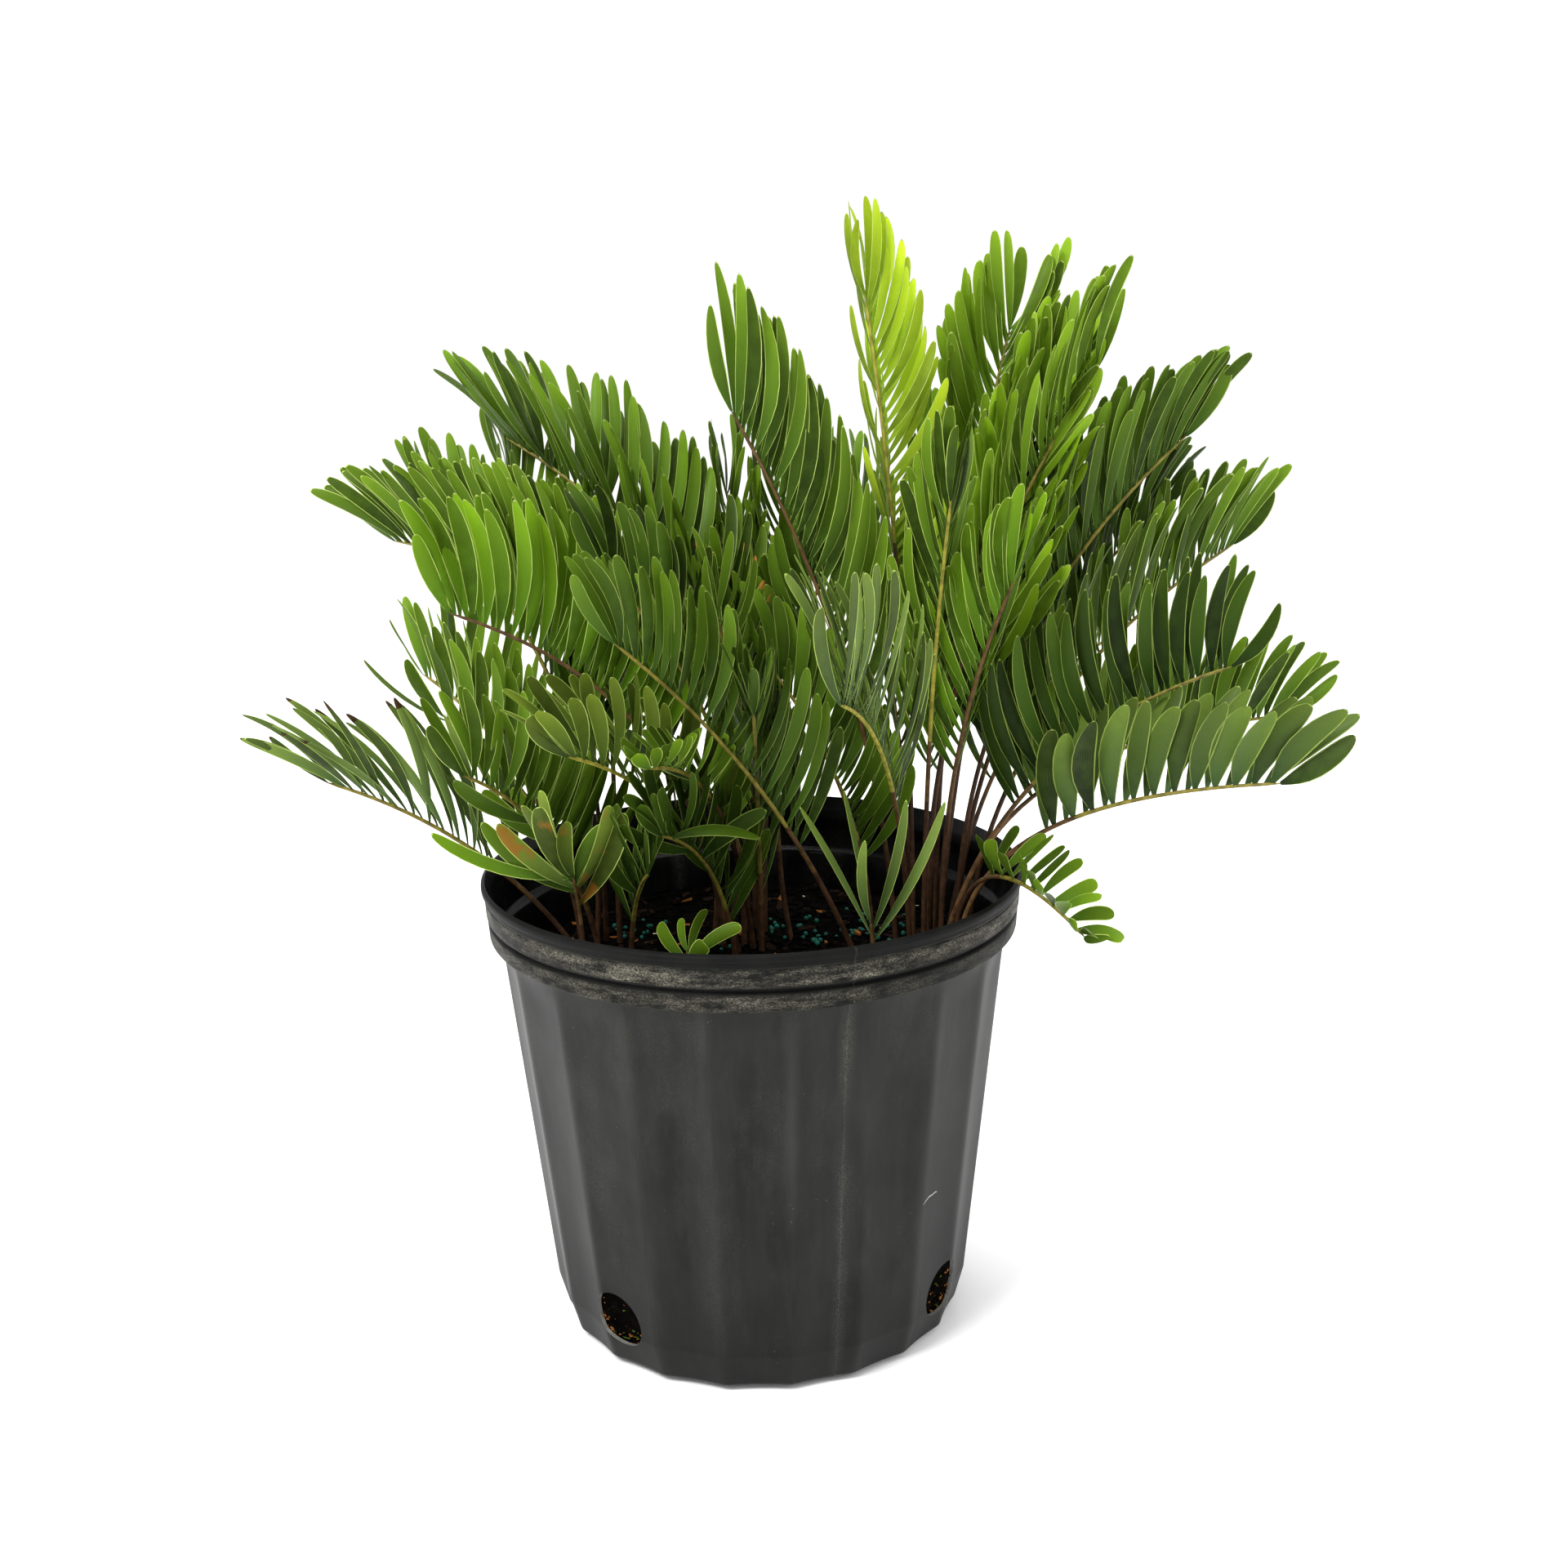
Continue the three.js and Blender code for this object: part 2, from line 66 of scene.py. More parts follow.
# Pot: the part's own sizes
POT_HEIGHT = 244.0
RIM_RADIUS = 139.7
LIP_HEIGHT = 5.0
UPPER_BAND_RADIUS = 137.6
GROOVE_RADIUS = 134.6
GROOVE_DOWN = 18.0
GROOVE_HEIGHT = 2.0
LOWER_BAND_RADIUS = 136.4
BAND_HEIGHT = 29.0
NECK_RADIUS = 131.0
NECK_HEIGHT = 213.0
HEEL_RADIUS = 110.5
HEEL_HEIGHT = 22.0
FOOT_CORNER_OUT = 7.5
FOOT_CORNER_HEIGHT = 4
FOOT_RADIUS = 98.0
WALL = 2.0
FLUTES = 20
FLUTE_DEPTH = 2.4
FLUTE_FADE = 20.0
FIRST_RIDGE = 8.0
DRAIN_HOLES = ((-41, 40), (59, -40), (190, 40))
DRAIN_WIDTH = 27.0
DRAIN_LENGTH = 31.0
DRAIN_HEIGHT = 30.0
DRAIN_DEPTH = 26.0
DRAIN_INSET = 2.0

# Potting mix: its top and waves, its gap to the wall above and below the heel, and how it draws in there
SOIL_TOP = 194.0
SOIL_ROUGH = 3.0
SOIL_WAVES = ((0.6, 22), (0.5, 7))
SOIL_GAP = 0.35
SOIL_LOW_GAP = 1.0
SOIL_DRAW_IN = 0.35
SOIL_SIDES = (WALL + 0.4, 8, 14, 20, 26, 32, 60, 120)

# Pot: finer than the part has it
STEPS_PER_FLUTE = 18
BODY_HEIGHTS = (HEEL_HEIGHT, 60, 100, 140, 170, SOIL_TOP, 200, 206)
CORNER_ROUND = 1.3
RIM_ROUND = 1
RIDGE_ROUND = 0.07
SHARP_ANGLE = 17
SEAM_AZIMUTHS = (20.5, 200.5)
SEAM_HEIGHT = 0.25
SEAM_WIDTH = 0.28
SEAM_STEPS = (-0.6, -0.4, -0.2, 0.2, 0.4, 0.6)
BAND_FLARE = 0.6
BAND_SWELL = 0.5
GROOVE_EDGE = 0.5
BAND_LINE_DOWN = 8.0
BAND_LINE_DEPTH = 0.1
BAND_LINE_REACH = 0.6

# Pot: ridges inside the rim, by how far they stand out and their height over the bands' foot
INNER_RIDGES = ((2.2, 22), (0.9, 16), (2.0, 11))

# Pot: heights where the scuffs fade out, at the lip and on either side of the groove
LIP_CLEAR = (237.5, 234.0)
CLEAR_ABOVE_GROOVE = (226.8, 228.2)
CLEAR_BELOW_GROOVE = (223.8, 222.4)

# Pot: a pale scratch by azimuths and heights, its width, its ends' share of that, and how proud it is
SCRATCH = ((44.5, 90.6), (45.6, 91.9), (47.2, 92.9), (49.0, 92.6), (50.4, 92.9), (51.2, 92.2))
SCRATCH_WIDTH = 0.55
SCRATCH_END = 0.25
SCRATCH_PROUD = 0.08

# Bits on the mix: how many, how far from the middle, lift, and kinds and sizes up to a share of all
BITS_SEED = 5
BIT_COUNT = 1500
BIT_REACH = 120
BIT_LIFT = 0.3
BIT_KINDS = ((0.8, "bark_dark", (2, 7)), (0.965, "bark_brown", (2, 7)), (0.985, "bark_orange", (2, 7)),
             (1.0, "bit_cream", (1.2, 2.6)))

# A bit's form by its size, its lean in radians, and how far its corners stray
CHIP_LENGTH = (0.8, 1.6)
CHIP_BREADTH = 0.45
CHIP_HEIGHT = 0.22
CHIP_LEAN = 0.6
CHIP_STRAY = 0.3
CHIP_STRAY_BY_SIZE = 0.35

# Bits behind each drain hole: how many, how far aside, up and down, gap to the wall, sizes and kinds
HOLE_BIT_COUNT = 170
HOLE_BIT_TURN = 9
HOLE_BIT_RISE = 15
HOLE_BIT_GAP = 1.5
HOLE_BIT_SIZE = (1.2, 3)
HOLE_BIT_KINDS = ("bark_brown", *["bark_orange"] * 2, *["bark_dark"] * 3, "moss")

# Fertiliser beads: clusters by place and spread, how many in each, how loosely, radius and lift
BEAD_CLUSTERS = ((-71, 37, 9), (-60, 43, 12), (-8, 27, 12), (2, 44, 16), (16, 39, 12), (34, 50, 14),
                 (56, 36, 10), (68, 29, 12), (84, 58, 14), (33, 24, 8))
BEADS_EACH = 9
BEAD_SCATTER = 0.7
BEAD_RADIUS = (1.0, 1.5)
BEAD_LIFT = 0.7

# Fronds: each crown's middle, the feet's height and their distance from it by the reach, and the ribs' radius
CROWNS = {"left": (-72, 16), "middle": (4, 26), "right": (88, 18)}
FOOT_HEIGHT = SOIL_TOP - 2
RING_OF_REACH = 0.14
RIB_FOOT_RADIUS = 1.6
RIB_TIP_RADIUS = 0.8
RIB_END = 0.35
RIB_TAPER_POWER = 0.8

# Where a rib turns brown, as a share of its bare part, and where it takes its own colour, just past that part
STALK_OF_BARE = 0.75
BROWN_PAST_BARE = 0.06

# Placing of leaflets: size of the one at the tip, how the last ones close and crowd, the lag within a pair,
# spread of angles, lengths and widths, and the share with scorched tips
TIP_SIZE = 0.75
TIP_CLOSING = 0.3
CLOSING_POWER = 8
TIP_CROWDING = 1.12
PAIR_LAG = 0.4
OPEN_JITTER = 6.0
RISE_JITTER = 12.0
LENGTH_SPREAD = (0.93, 1.05)
WIDTH_SPREAD = (0.9, 1.08)
SCORCHED_SHARE = 0.7
FROND_SEED = 71
SEED_STEP = 13

# Leaflet: places along it where its outline has a point, and across it, with the pale margin outermost
ALONG = (0.0, 0.05, 0.12, 0.22, 0.34, 0.48, 0.62, 0.74, 0.84, 0.91, 0.955, 0.985, 1.0)
ACROSS = (-1.0, -0.9, -0.45, 0.0, 0.45, 0.9, 1.0)

# Leaflet: bow to the side and backwards by its length, cupping by its width, and twist
SICKLE = (0.03, 0.09)
ARCH = (-0.05, 0.07)
CUP = (0.12, 0.30)
TWIST = 38

# Leaflet's outline, pointed and the change to blunt: where it is widest, the powers by which it swells and
# rounds off; its foot's and its least share of the width
WIDEST = (0.42, 0.28)
SWELL_POWER = (1.1, -0.35)
TIP_POWER = (1.9, 2.4)
FOOT_WIDTH = 0.16
LEAST_WIDTH = 0.02

# Forms of frond: the leaflets' length, width and spacing, angle open to the rib, rise out of its flat,
# turn to the light and closing towards the tip, the rib's bare share, bluntness, and tints of both
FORM_KEYS = ("length", "width", "spacing", "open", "rise", "lift", "fan", "bare", "blunt", "tint", "rib")
FORMS = {
    "comb": (62, 7.4, 8.6, 74, 64, 0.8, 0.35, 0.4, 0.3, "mid", "olive"),
    "plume": (68, 6.8, 6.6, 36, 40, 0.4, 0.6, 0.46, 0.7, "mid", "olive"),
    "fresh": (78, 8.2, 7.8, 74, 74, 1.0, 0.35, 0.48, 0.3, "fresh", "brown"),
    "young": (60, 5.6, 4.8, 34, 48, 0.1, 0.6, 0.56, 0.6, "young", "lime"),
    "dark": (66, 6.6, 6.8, 58, 60, 0.7, 0.5, 0.4, 0.7, "dark", "olive"),
    "broad": (56, 11.4, 10.6, 62, 60, 0.4, 0.6, 0.42, 0.3, "gray", "olive"),
    "olive": (60, 8.6, 8.2, 54, 50, 0.5, 0.6, 0.4, 0.8, "olive", "lime"),
    "small": (31, 7.0, 8.0, 58, 40, 0.35, 0.5, 0.46, 0.8, "mid", "olive"),
    "tuft": (54, 10.5, 9.5, 36, 30, 0.3, 0.6, 0.74, 0.8, "scorched", "brown"),
}

# What a frond has unless its own row says otherwise: how much shorter the leaflets get, how far the tip's one
# turns up, how loose they are, where the rib bends, its roll, and the colours of stalk and scorched tips
USUAL = dict(taper=0.24, tip_lift=0.5, loose=1.0, bend=0.5, roll=0, stalk="petiole", tips=None)

# The part's fronds: name, crown, form, azimuth, reach, height, bow, and what differs from the form
FRONDS = (
    ("top_young", "right", "young", 155, 28, 530, 0.02, dict(roll=78, open=40, taper=0.16)),
    ("right_low", "right", "broad", -27, 188, 300, 0.17,
     dict(bend=0.27, ring=22, fan=0.4, taper=0, tint="dusty", stalk="tan")),
    ("right_mid", "right", "comb", -18, 158, 350, 0.13,
     dict(ring=13, length=72, width=8.2, open=80, lift=1.1, fan=0.2, blunt=0.1, tint="deep", stalk="tan")),
    ("left_low", "left", "dark", 204, 147, 304, 0.08,
     dict(length=80, width=5.0, spacing=8.6, taper=0.34, open=34, rise=58, lift=0.15, fan=0.6, bare=0.34,
          loose=2.6, blunt=0.3, tint="gray", tips="brown")),
    ("front_gray", "right", "olive", 255, 176, 362, 0.16,
     dict(length=82, width=6.2, spacing=6.0, open=34, rise=40, lift=1.1, fan=0.1, taper=0.06, tint="gray")),
    ("front_left", "right", "dark", 222, 196, 384, 0.06, dict(bare=0.34, ring=45)),
    ("upper_left", "right", "plume", 203, 100, 478, 0.06,
     dict(length=76, width=7.6, spacing=7.2, open=42, rise=72, lift=0.7, fan=0.15, tip_lift=1.4, taper=0.08,
          blunt=0.1, rib="brown")),
    ("front_upright", "right", "plume", 277, 80, 438, 0.06, dict(bare=0.4, open=28, rib="lime")),
    ("left_fresh", "middle", "fresh", 204, 160, 386, 0.16, dict(tip_lift=1.8)),
    ("left_far", "middle", "dark", 175, 186, 410, 0.24, dict(width=6.4, spacing=6, tint="mid")),
    ("left_high", "middle", "dark", 156, 143, 458, 0.2, dict(length=76, spacing=5.6, rise=46, loose=1.4)),
    ("right_high", "right", "comb", 16, 148, 454, 0.12,
     dict(length=72, width=7.2, spacing=6, open=54, lift=0.5, fan=0.6, tint="dark", blunt=0.9)),
    ("right_fresh", "right", "plume", 11, 94, 492, 0.08,
     dict(ring=4, length=74, open=46, lift=0.8, fan=0.3, tint="leafy")),
    ("back_right", "right", "dark", 54, 92, 510, 0.06,
     dict(ring=16, length=72, width=7.6, spacing=4.6, open=44, rise=26, lift=0.5, fan=0.3, roll=36, loose=1.3,
          tint="leafy")),
    ("left_second", "left", "dark", 152, 104, 420, 0.14, {}),
    ("left_inner", "left", "comb", 179, 86, 322, 0.12, dict(ring=20)),
    ("front_olive", "middle", "olive", 238, 160, 331, 0.12, dict(length=64, width=7.4, loose=1.6)),
    ("front_tuft", "left", "tuft", 258, 72, 256, 0.04, dict(ring=58, width=8.5)),
    ("front_small", "middle", "small", 253, 160, 329, 0.16, dict(ring=15)),
    ("middle_tipped", "middle", "comb", 254, 68, 385, 0.1, dict(length=54, bare=0.5, ring=5, tips="orange")),
    ("middle_back", "middle", "dark", 128, 95, 415, 0.12, dict(length=58)),
    ("middle_back_up", "middle", "dark", 100, 84, 425, 0.1, dict(length=58, ring=22)),
    ("middle_left", "middle", "dark", 220, 92, 402, 0.12, dict(bare=0.3, loose=1.6, tint="deep")),
    ("right_brown", "right", "plume", 300, 81, 398, 0.08, dict(ring=20, rib="brown", tint="fresh")),
    ("right_dark", "right", "dark", 31, 158, 407, 0.14, dict(ring=24, tint="deep", spacing=6.2)),
    ("right_back", "right", "dark", 23, 192, 392, 0.14,
     dict(ring=29, bend=0.42, length=70, width=7, spacing=5.8, tint="mid")),
    ("right_behind", "right", "comb", -1, 190, 314, 0.2,
     dict(length=56, spacing=7.4, bend=0.34, ring=18, stalk="tan")),
    ("right_small", "right", "small", -61, 142, 238, 0.31, dict(bend=0.36, ring=30)),
    ("front_sprig", "right", "tuft", 250, 86, 232, 0.02,
     dict(ring=78, length=78, width=4.8, spacing=6.4, open=24, lift=0, loose=1.5, blunt=0.3, tint="gray")),
    ("back_left_low", "left", "comb", 146, 130, 330, 0.14, dict(ring=25)),
    ("back_left", "left", "dark", 122, 110, 432, 0.12, {}),
    ("back_middle_low", "middle", "comb", 94, 172, 345, 0.16, dict(ring=31)),
    ("back_middle", "middle", "dark", 78, 104, 440, 0.08, dict(ring=7)),
    ("back_right_low", "right", "comb", 74, 165, 340, 0.16, {}),
    ("back_right_mid", "right", "dark", 104, 120, 410, 0.12, {}),
    ("back_left_far", "middle", "dark", 138, 182, 352, 0.16, {}),
    ("back_right_far", "right", "dark", 48, 178, 330, 0.16, {}),
    ("back_left_high", "left", "dark", 92, 76, 424, 0.1, {}),
    ("back_middle_far", "middle", "comb", 116, 148, 392, 0.14, {}),
    ("back_right_out", "right", "plume", 24, 78, 478, 0.04,
     dict(ring=12, length=70, width=7.4, spacing=4.8, open=46, rise=34, lift=0.5, fan=0.4, roll=66, loose=1.3,
          tint="leafy")),
    ("front_left_low", "left", "comb", 232, 104, 312, 0.12, dict(length=60, bare=0.24, loose=1.5)),
    ("front_dark", "middle", "dark", 270, 118, 345, 0.14,
     dict(length=56, bare=0.2, ring=24, loose=1.8, tint="deep")),
    ("front_low", "middle", "dark", 247, 116, 284, 0.14,
     dict(length=52, bare=0.2, ring=34, width=7.6, loose=2, tint="deep")),
    ("front_low_left", "left", "dark", 285, 90, 262, 0.12,
     dict(length=48, bare=0.3, ring=30, width=7.6, loose=2, tint="deep")),
    ("right_inner", "right", "dark", 194, 80, 350, 0.08, dict(length=60, bare=0.3, ring=26)),
    ("middle_right", "middle", "dark", 352, 44, 410, 0.08, dict(length=60, bare=0.3, ring=16)),
)

# Single leaflets that stand out of a frond: share of its rib, way, length, width and tint
SINGLES = {
    "front_tuft": (
        (1.0, (-0.95, 0.12, 0.29), 74, 6.8, "fresh"), (0.97, (-0.34, -0.2, 0.92), 44, 11, "scorched"),
        (0.9, (-0.68, -0.2, 0.7), 52, 8.5, "scorched"), (0.86, (-0.78, 0.05, 0.62), 58, 8, "mid"),
        (0.94, (0.45, 0.0, 0.85), 34, 8, "mid"),
    ),
    "front_left_low": (
        (0.5, (-0.7, -0.1, 0.62), 46, 9, "mid"), (0.62, (-0.72, -0.25, 0.5), 48, 8.5, "dark"),
        (0.4, (-0.5, -0.1, 0.85), 50, 8.5, "mid"),
    ),
    "front_low": (
        (0.92, (1.0, -0.2, 0.04), 44, 7, "dark"), (0.7, (-0.9, -0.5, 0.5), 44, 8, "deep"),
        (0.5, (-0.4, -0.4, 0.8), 50, 8, "dark"), (0.62, (0.7, -0.3, 0.6), 46, 8, "deep"),
        (0.4, (0.2, -0.2, 0.9), 48, 8, "deep"),
    ),
    "front_low_left": (
        (0.8, (0.35, -0.3, 0.9), 42, 8, "deep"), (0.62, (-0.45, -0.2, 0.85), 40, 8, "deep"),
        (0.55, (0.3, -0.2, 0.9), 46, 8, "deep"),
    ),
    "front_small": (
        (0.55, (-0.7, 0.1, 0.7), 44, 8, "deep"), (0.62, (0.6, 0.1, 0.8), 46, 8, "dark"),
        (0.7, (-0.5, 0.3, 0.3), 44, 8, "deep"),
    ),
    "front_olive": ((0.34, (-0.6, 0.2, 0.8), 48, 8, "deep"), (0.3, (0.5, 0.1, 0.9), 46, 8, "dark")),
    "left_inner": ((0.96, (-0.9, -0.1, 0.75), 56, 2.4, "gray"),),
}
SINGLE_BLUNT = 0.7

# A seedling by the front rim: its place, each leaf's height, way, length and width, and its stalks' form
SEEDLING = (-32.0, -54.0)
SEEDLING_LEAVES = (
    (20, (-0.5, -0.1, 0.85), 24, 6.5),
    (18, (0.5, -0.3, 0.8), 15, 9),
    (20, (0.8, -0.1, 0.6), 31, 7),
    (23, (0.35, 0.1, 0.9), 24, 5),
    (24, (-0.15, 0.2, 1.0), 17, 4),
)
SEEDLING_RADIUS = 0.6
SEEDLING_LEAN = 0.12
SEEDLING_BOW = 1.5

# Leaflet tints: base colour and how much light comes through
TINTS = {
    "young": ((0.204, 0.298, 0.013), 0.36),
    "fresh": ((0.066, 0.139, 0.005), 0.24),
    "leafy": ((0.082, 0.158, 0.007), 0.18),
    "mid": ((0.048, 0.096, 0.006), 0.12),
    "dark": ((0.041, 0.085, 0.005), 0.09),
    "deep": ((0.020, 0.043, 0.004), 0.07),
    "olive": ((0.056, 0.088, 0.011), 0.10),
    "scorched": ((0.062, 0.098, 0.014), 0.12),
    "gray": ((0.058, 0.096, 0.022), 0.11),
    "dusty": ((0.040, 0.070, 0.014), 0.09),
}
SCORCH_COLOR = (0.26, 0.10, 0.015)
MARGIN_COLORS = {"pale": (0.31, 0.41, 0.085), "dull": (0.19, 0.255, 0.05)}
PALE_MARGINED = ("young", "fresh", "leafy", "mid", "olive", "gray", "scorched")
TIP_COLORS = {"brown": (0.045, 0.024, 0.008), "orange": (0.42, 0.20, 0.035)}
RIB_COLORS = {
    "petiole": (0.056, 0.027, 0.013),
    "tan": (0.185, 0.095, 0.038),
    "brown": (0.095, 0.052, 0.018),
    "olive": (0.165, 0.138, 0.022),
    "lime": (0.250, 0.225, 0.032),
}

# Leaflet's looks: the tint's factors at its foot and tip, darker at the foot as painted shade and lighter at
# the tip as painted light, and at tones -1 and 1, its mottle, scorch and veins, and the factors of the light
# that comes through
LEAF_ROUGHNESS = 0.36
LEAF_SHEEN = 0.09
LEAF_FOOT_SHADE = (0.38, 0.45, 0.75)
LEAF_TIP_LIGHT = (1.85, 1.62, 1.05)
FOOT_TO_TIP = (0.1, 0.85)
TONE_FACTORS = (0.28, 1.9)
MOTTLE = (130, 0.4, 0.75, 0, 0.35, 3)
MOTTLE_FACTOR = 1.4
SCORCH = (45, 0.54, 0.63, 0, 0.85)
VEIN_SCALE = 4.2
VEIN_GROOVE = 0.35
VEIN_SHARE = 0.22
VEIN_FACTOR = 1.9
VEIN_BUMP = (0.12, 0.5)
GLOW_FACTORS = (1.6, 2.6)

# Pot's looks: its plastic by slot, with colour, roughness, how scuffed it is and its sheen
CHARCOAL = (0.0070, 0.0074, 0.0066)
PLASTICS = {
    "pot_body": (CHARCOAL, 0.47, 0, 0.14),
    "pot_band": (tuple(channel * 0.4 for channel in CHARCOAL), 0.55, 0.95, 0.08),
    # the inside: the same plastic as the body, darker as painted shade within the pot
    "pot_inside": ((0.0022, 0.0022, 0.0025), 0.3, 0, 0.08),
}

# Pot's looks: factors of the colour in its streaks and blotches, and the colours laid over it
STREAK_FACTORS = (0.6, 2.0)
BLOTCH_FACTOR = 2.6
SPECK_COLOR = (0.34, 0.33, 0.30)
SCUFF_COLOR = (0.25, 0.232, 0.178)
RIDGE_COLOR = (0.07, 0.068, 0.058)
SEAM_COLOR = (0.10, 0.095, 0.08)
LINE_COLOR = (0.16, 0.155, 0.135)
WEAR_COLOR = (0.045, 0.043, 0.034)
DUST_COLOR = (0.06, 0.054, 0.042)

# Pot's looks: strengths, reach of ridge, seam and line in degrees, the specks' scale and size, and the
# heights over which dust and the shade by the floor fade out
LOWER_SCUFFS = 0.5
DUST_STRENGTH = 0.2
LINE_STRENGTH = 0.16
RIDGE_REACH = 2.6
SEAM_REACH = 2.4
LINE_REACH = 0.3
SPECK_SCALE = 260
SPECK_SIZE = (0.09, 0.05)
DUST_HEIGHTS = (14, 2)
SHADE_HEIGHTS = (5, 70)
SHADE_BY_FLOOR = 0.45

# Pot's noise: scale, range that counts, least and most, detail, squeeze upright and roughness
BLOTCHES = (24, 0.45, 0.75, 0, 0.5, 6)
SPECKLED = (30, 0.55, 0.75, 0, 0.5)
GRIT = (1100, 0.44, 0.60, 0.05, 1, 5, 1.6, 0.8)
CLOUD = (60, 0.41, 0.60, 0, 1, 9, 4.0, 0.8)
BROAD = (16, 0.34, 0.54, 0.3, 1, 3, 5.0)
PATCHY = (60, 0.40, 0.60, 0, 0.5, 6, 0.2)
WEAR = (38, 0.48, 0.66, 0, 0.4, 7, 0.35, 0.7)
DUST = (110, 0.50, 0.66, 0, 1, 7)

# Pot's streaks: scale, detail, squeeze upright and roughness, and their ranges for colour, ridges and gloss
STREAKS = (46, 5, 0.07, 0.6)
STREAK_COLOR = (0.36, 0.68)
STREAK_RIDGE = (0.4, 0.65, 0, 0.16)
STREAK_GLOSS = (0.3, 0.8)
GLOSS_CHANGE = (-0.07, 0.1)
POT_GRAIN = (900, 3)
POT_BUMP = (0.05, 0.5)

# Grain of plain materials: its detail and its range
GRAIN_DETAIL = 5
GRAIN_RANGE = (0.35, 0.7)

# Plain materials by slot: name, colour, roughness, the grain's scale, change of colour and bump, and sheen
PLAIN = {
    "pot_edge": ("pot_worn_edge", (0.17, 0.165, 0.15), 0.6, 220, 0.35, 0.15, 0.5),
    "scratch": ("pot_scratch", (0.42, 0.42, 0.40), 0.6, 220, 0.35, 0.15, 0.5),
    # the mix: its own dark colour, darkened further as painted shade from the fronds above it
    "mix": ("mix_dark", (0.0016, 0.0013, 0.0011), 0.95, 160, 0.7, 1.2, 0.01),
    "bark_dark": ("bark_dark", (0.0026, 0.0019, 0.0015), 0.9, 400, 0.5, 0.4, 0.02),
    "bark_brown": ("bark_brown", (0.013, 0.0065, 0.0038), 0.85, 400, 0.5, 0.4, 0.03),
    "bark_orange": ("bark_orange", (0.23, 0.085, 0.018), 0.8, 400, 0.5, 0.3, 0.05),
    "bit_cream": ("bit_cream", (0.60, 0.50, 0.33), 0.8, 300, 0.2, 0.3, 0.5),
    "bead": ("fertiliser_bead", (0.006, 0.105, 0.074), 0.45, 300, 0.3, 0.05, 0.2),
    "moss": ("moss", (0.05, 0.085, 0.008), 0.95, 700, 0.5, 0.5, 0.05),
    "floor": ("floor", (0.96, 0.96, 0.96), 0.9, 3, 0.01, 0.01, 0.5),
}

# Families of plain materials by slot: name and colours, and the rest as above
FAMILIES = {
    "margin": ("leaflet_margin", MARGIN_COLORS, 0.5, 220, 0.15, 0.03, 0.15),
    "tip": ("leaflet_tip", TIP_COLORS, 0.6, 220, 0.35, 0.15, 0.1),
    "rib": ("rib", RIB_COLORS, 0.5, 220, 0.4, 0.15, 0.18),
}


def new_object(name, data):
    obj = bpy.data.objects.new(name, data)
    bpy.context.scene.collection.objects.link(obj)
    return obj


class Batch:
    """Points and faces of one joined piece, with each face's material and tone and each corner's place."""

    def __init__(self):
        self.points = []
        self.faces = []
        self.slots = []
        self.tones = []
        self.places = []

    def face(self, corners, slot, places, tone=0.0):
        """A face by the numbers of its points."""
        self.faces.append(tuple(corners))
        self.slots.append(slot)
        self.tones.append(tone)
        self.places.extend(places)

    def grid(self, rows, slot, tone=0.0, wrap=False):
        """A sheet or tube through rows of points; slot is a name or a rule of (row, column)."""
        start = len(self.points)
        width = len(rows[0])
        for row in rows:
            self.points.extend(row)
        columns = width if wrap else width - 1
        for i in range(len(rows) - 1):
            for j in range(columns):
                k = (j + 1) % width
                near = start + i * width
                far = near + width
                low, high = i / (len(rows) - 1), (i + 1) / (len(rows) - 1)
                left, right = j / columns, (j + 1) / columns
                self.face((near + j, near + k, far + k, far + j), slot(i, j) if callable(slot) else slot,
                          ((left, low), (right, low), (right, high), (left, high)), tone)

    def piece(self, name, materials, smooth=True):
        """The batch as one object."""
        mesh = bpy.data.meshes.new(name)
        mesh.from_pydata([tuple(p * MM) for p in self.points], [], self.faces)
        used = sorted(set(self.slots))
        for slot in used:
            mesh.materials.append(materials[slot])
        mesh.polygons.foreach_set("material_index", [used.index(slot) for slot in self.slots])
        mesh.polygons.foreach_set("use_smooth", [smooth] * len(self.faces))
        layer = mesh.uv_layers.new(name="place")
        layer.data.foreach_set("uv", [value for place in self.places for value in place])
        tones = mesh.attributes.new("tone", "FLOAT", "FACE")
        tones.data.foreach_set("value", self.tones)
        mesh.update()
        return new_object(name, mesh)


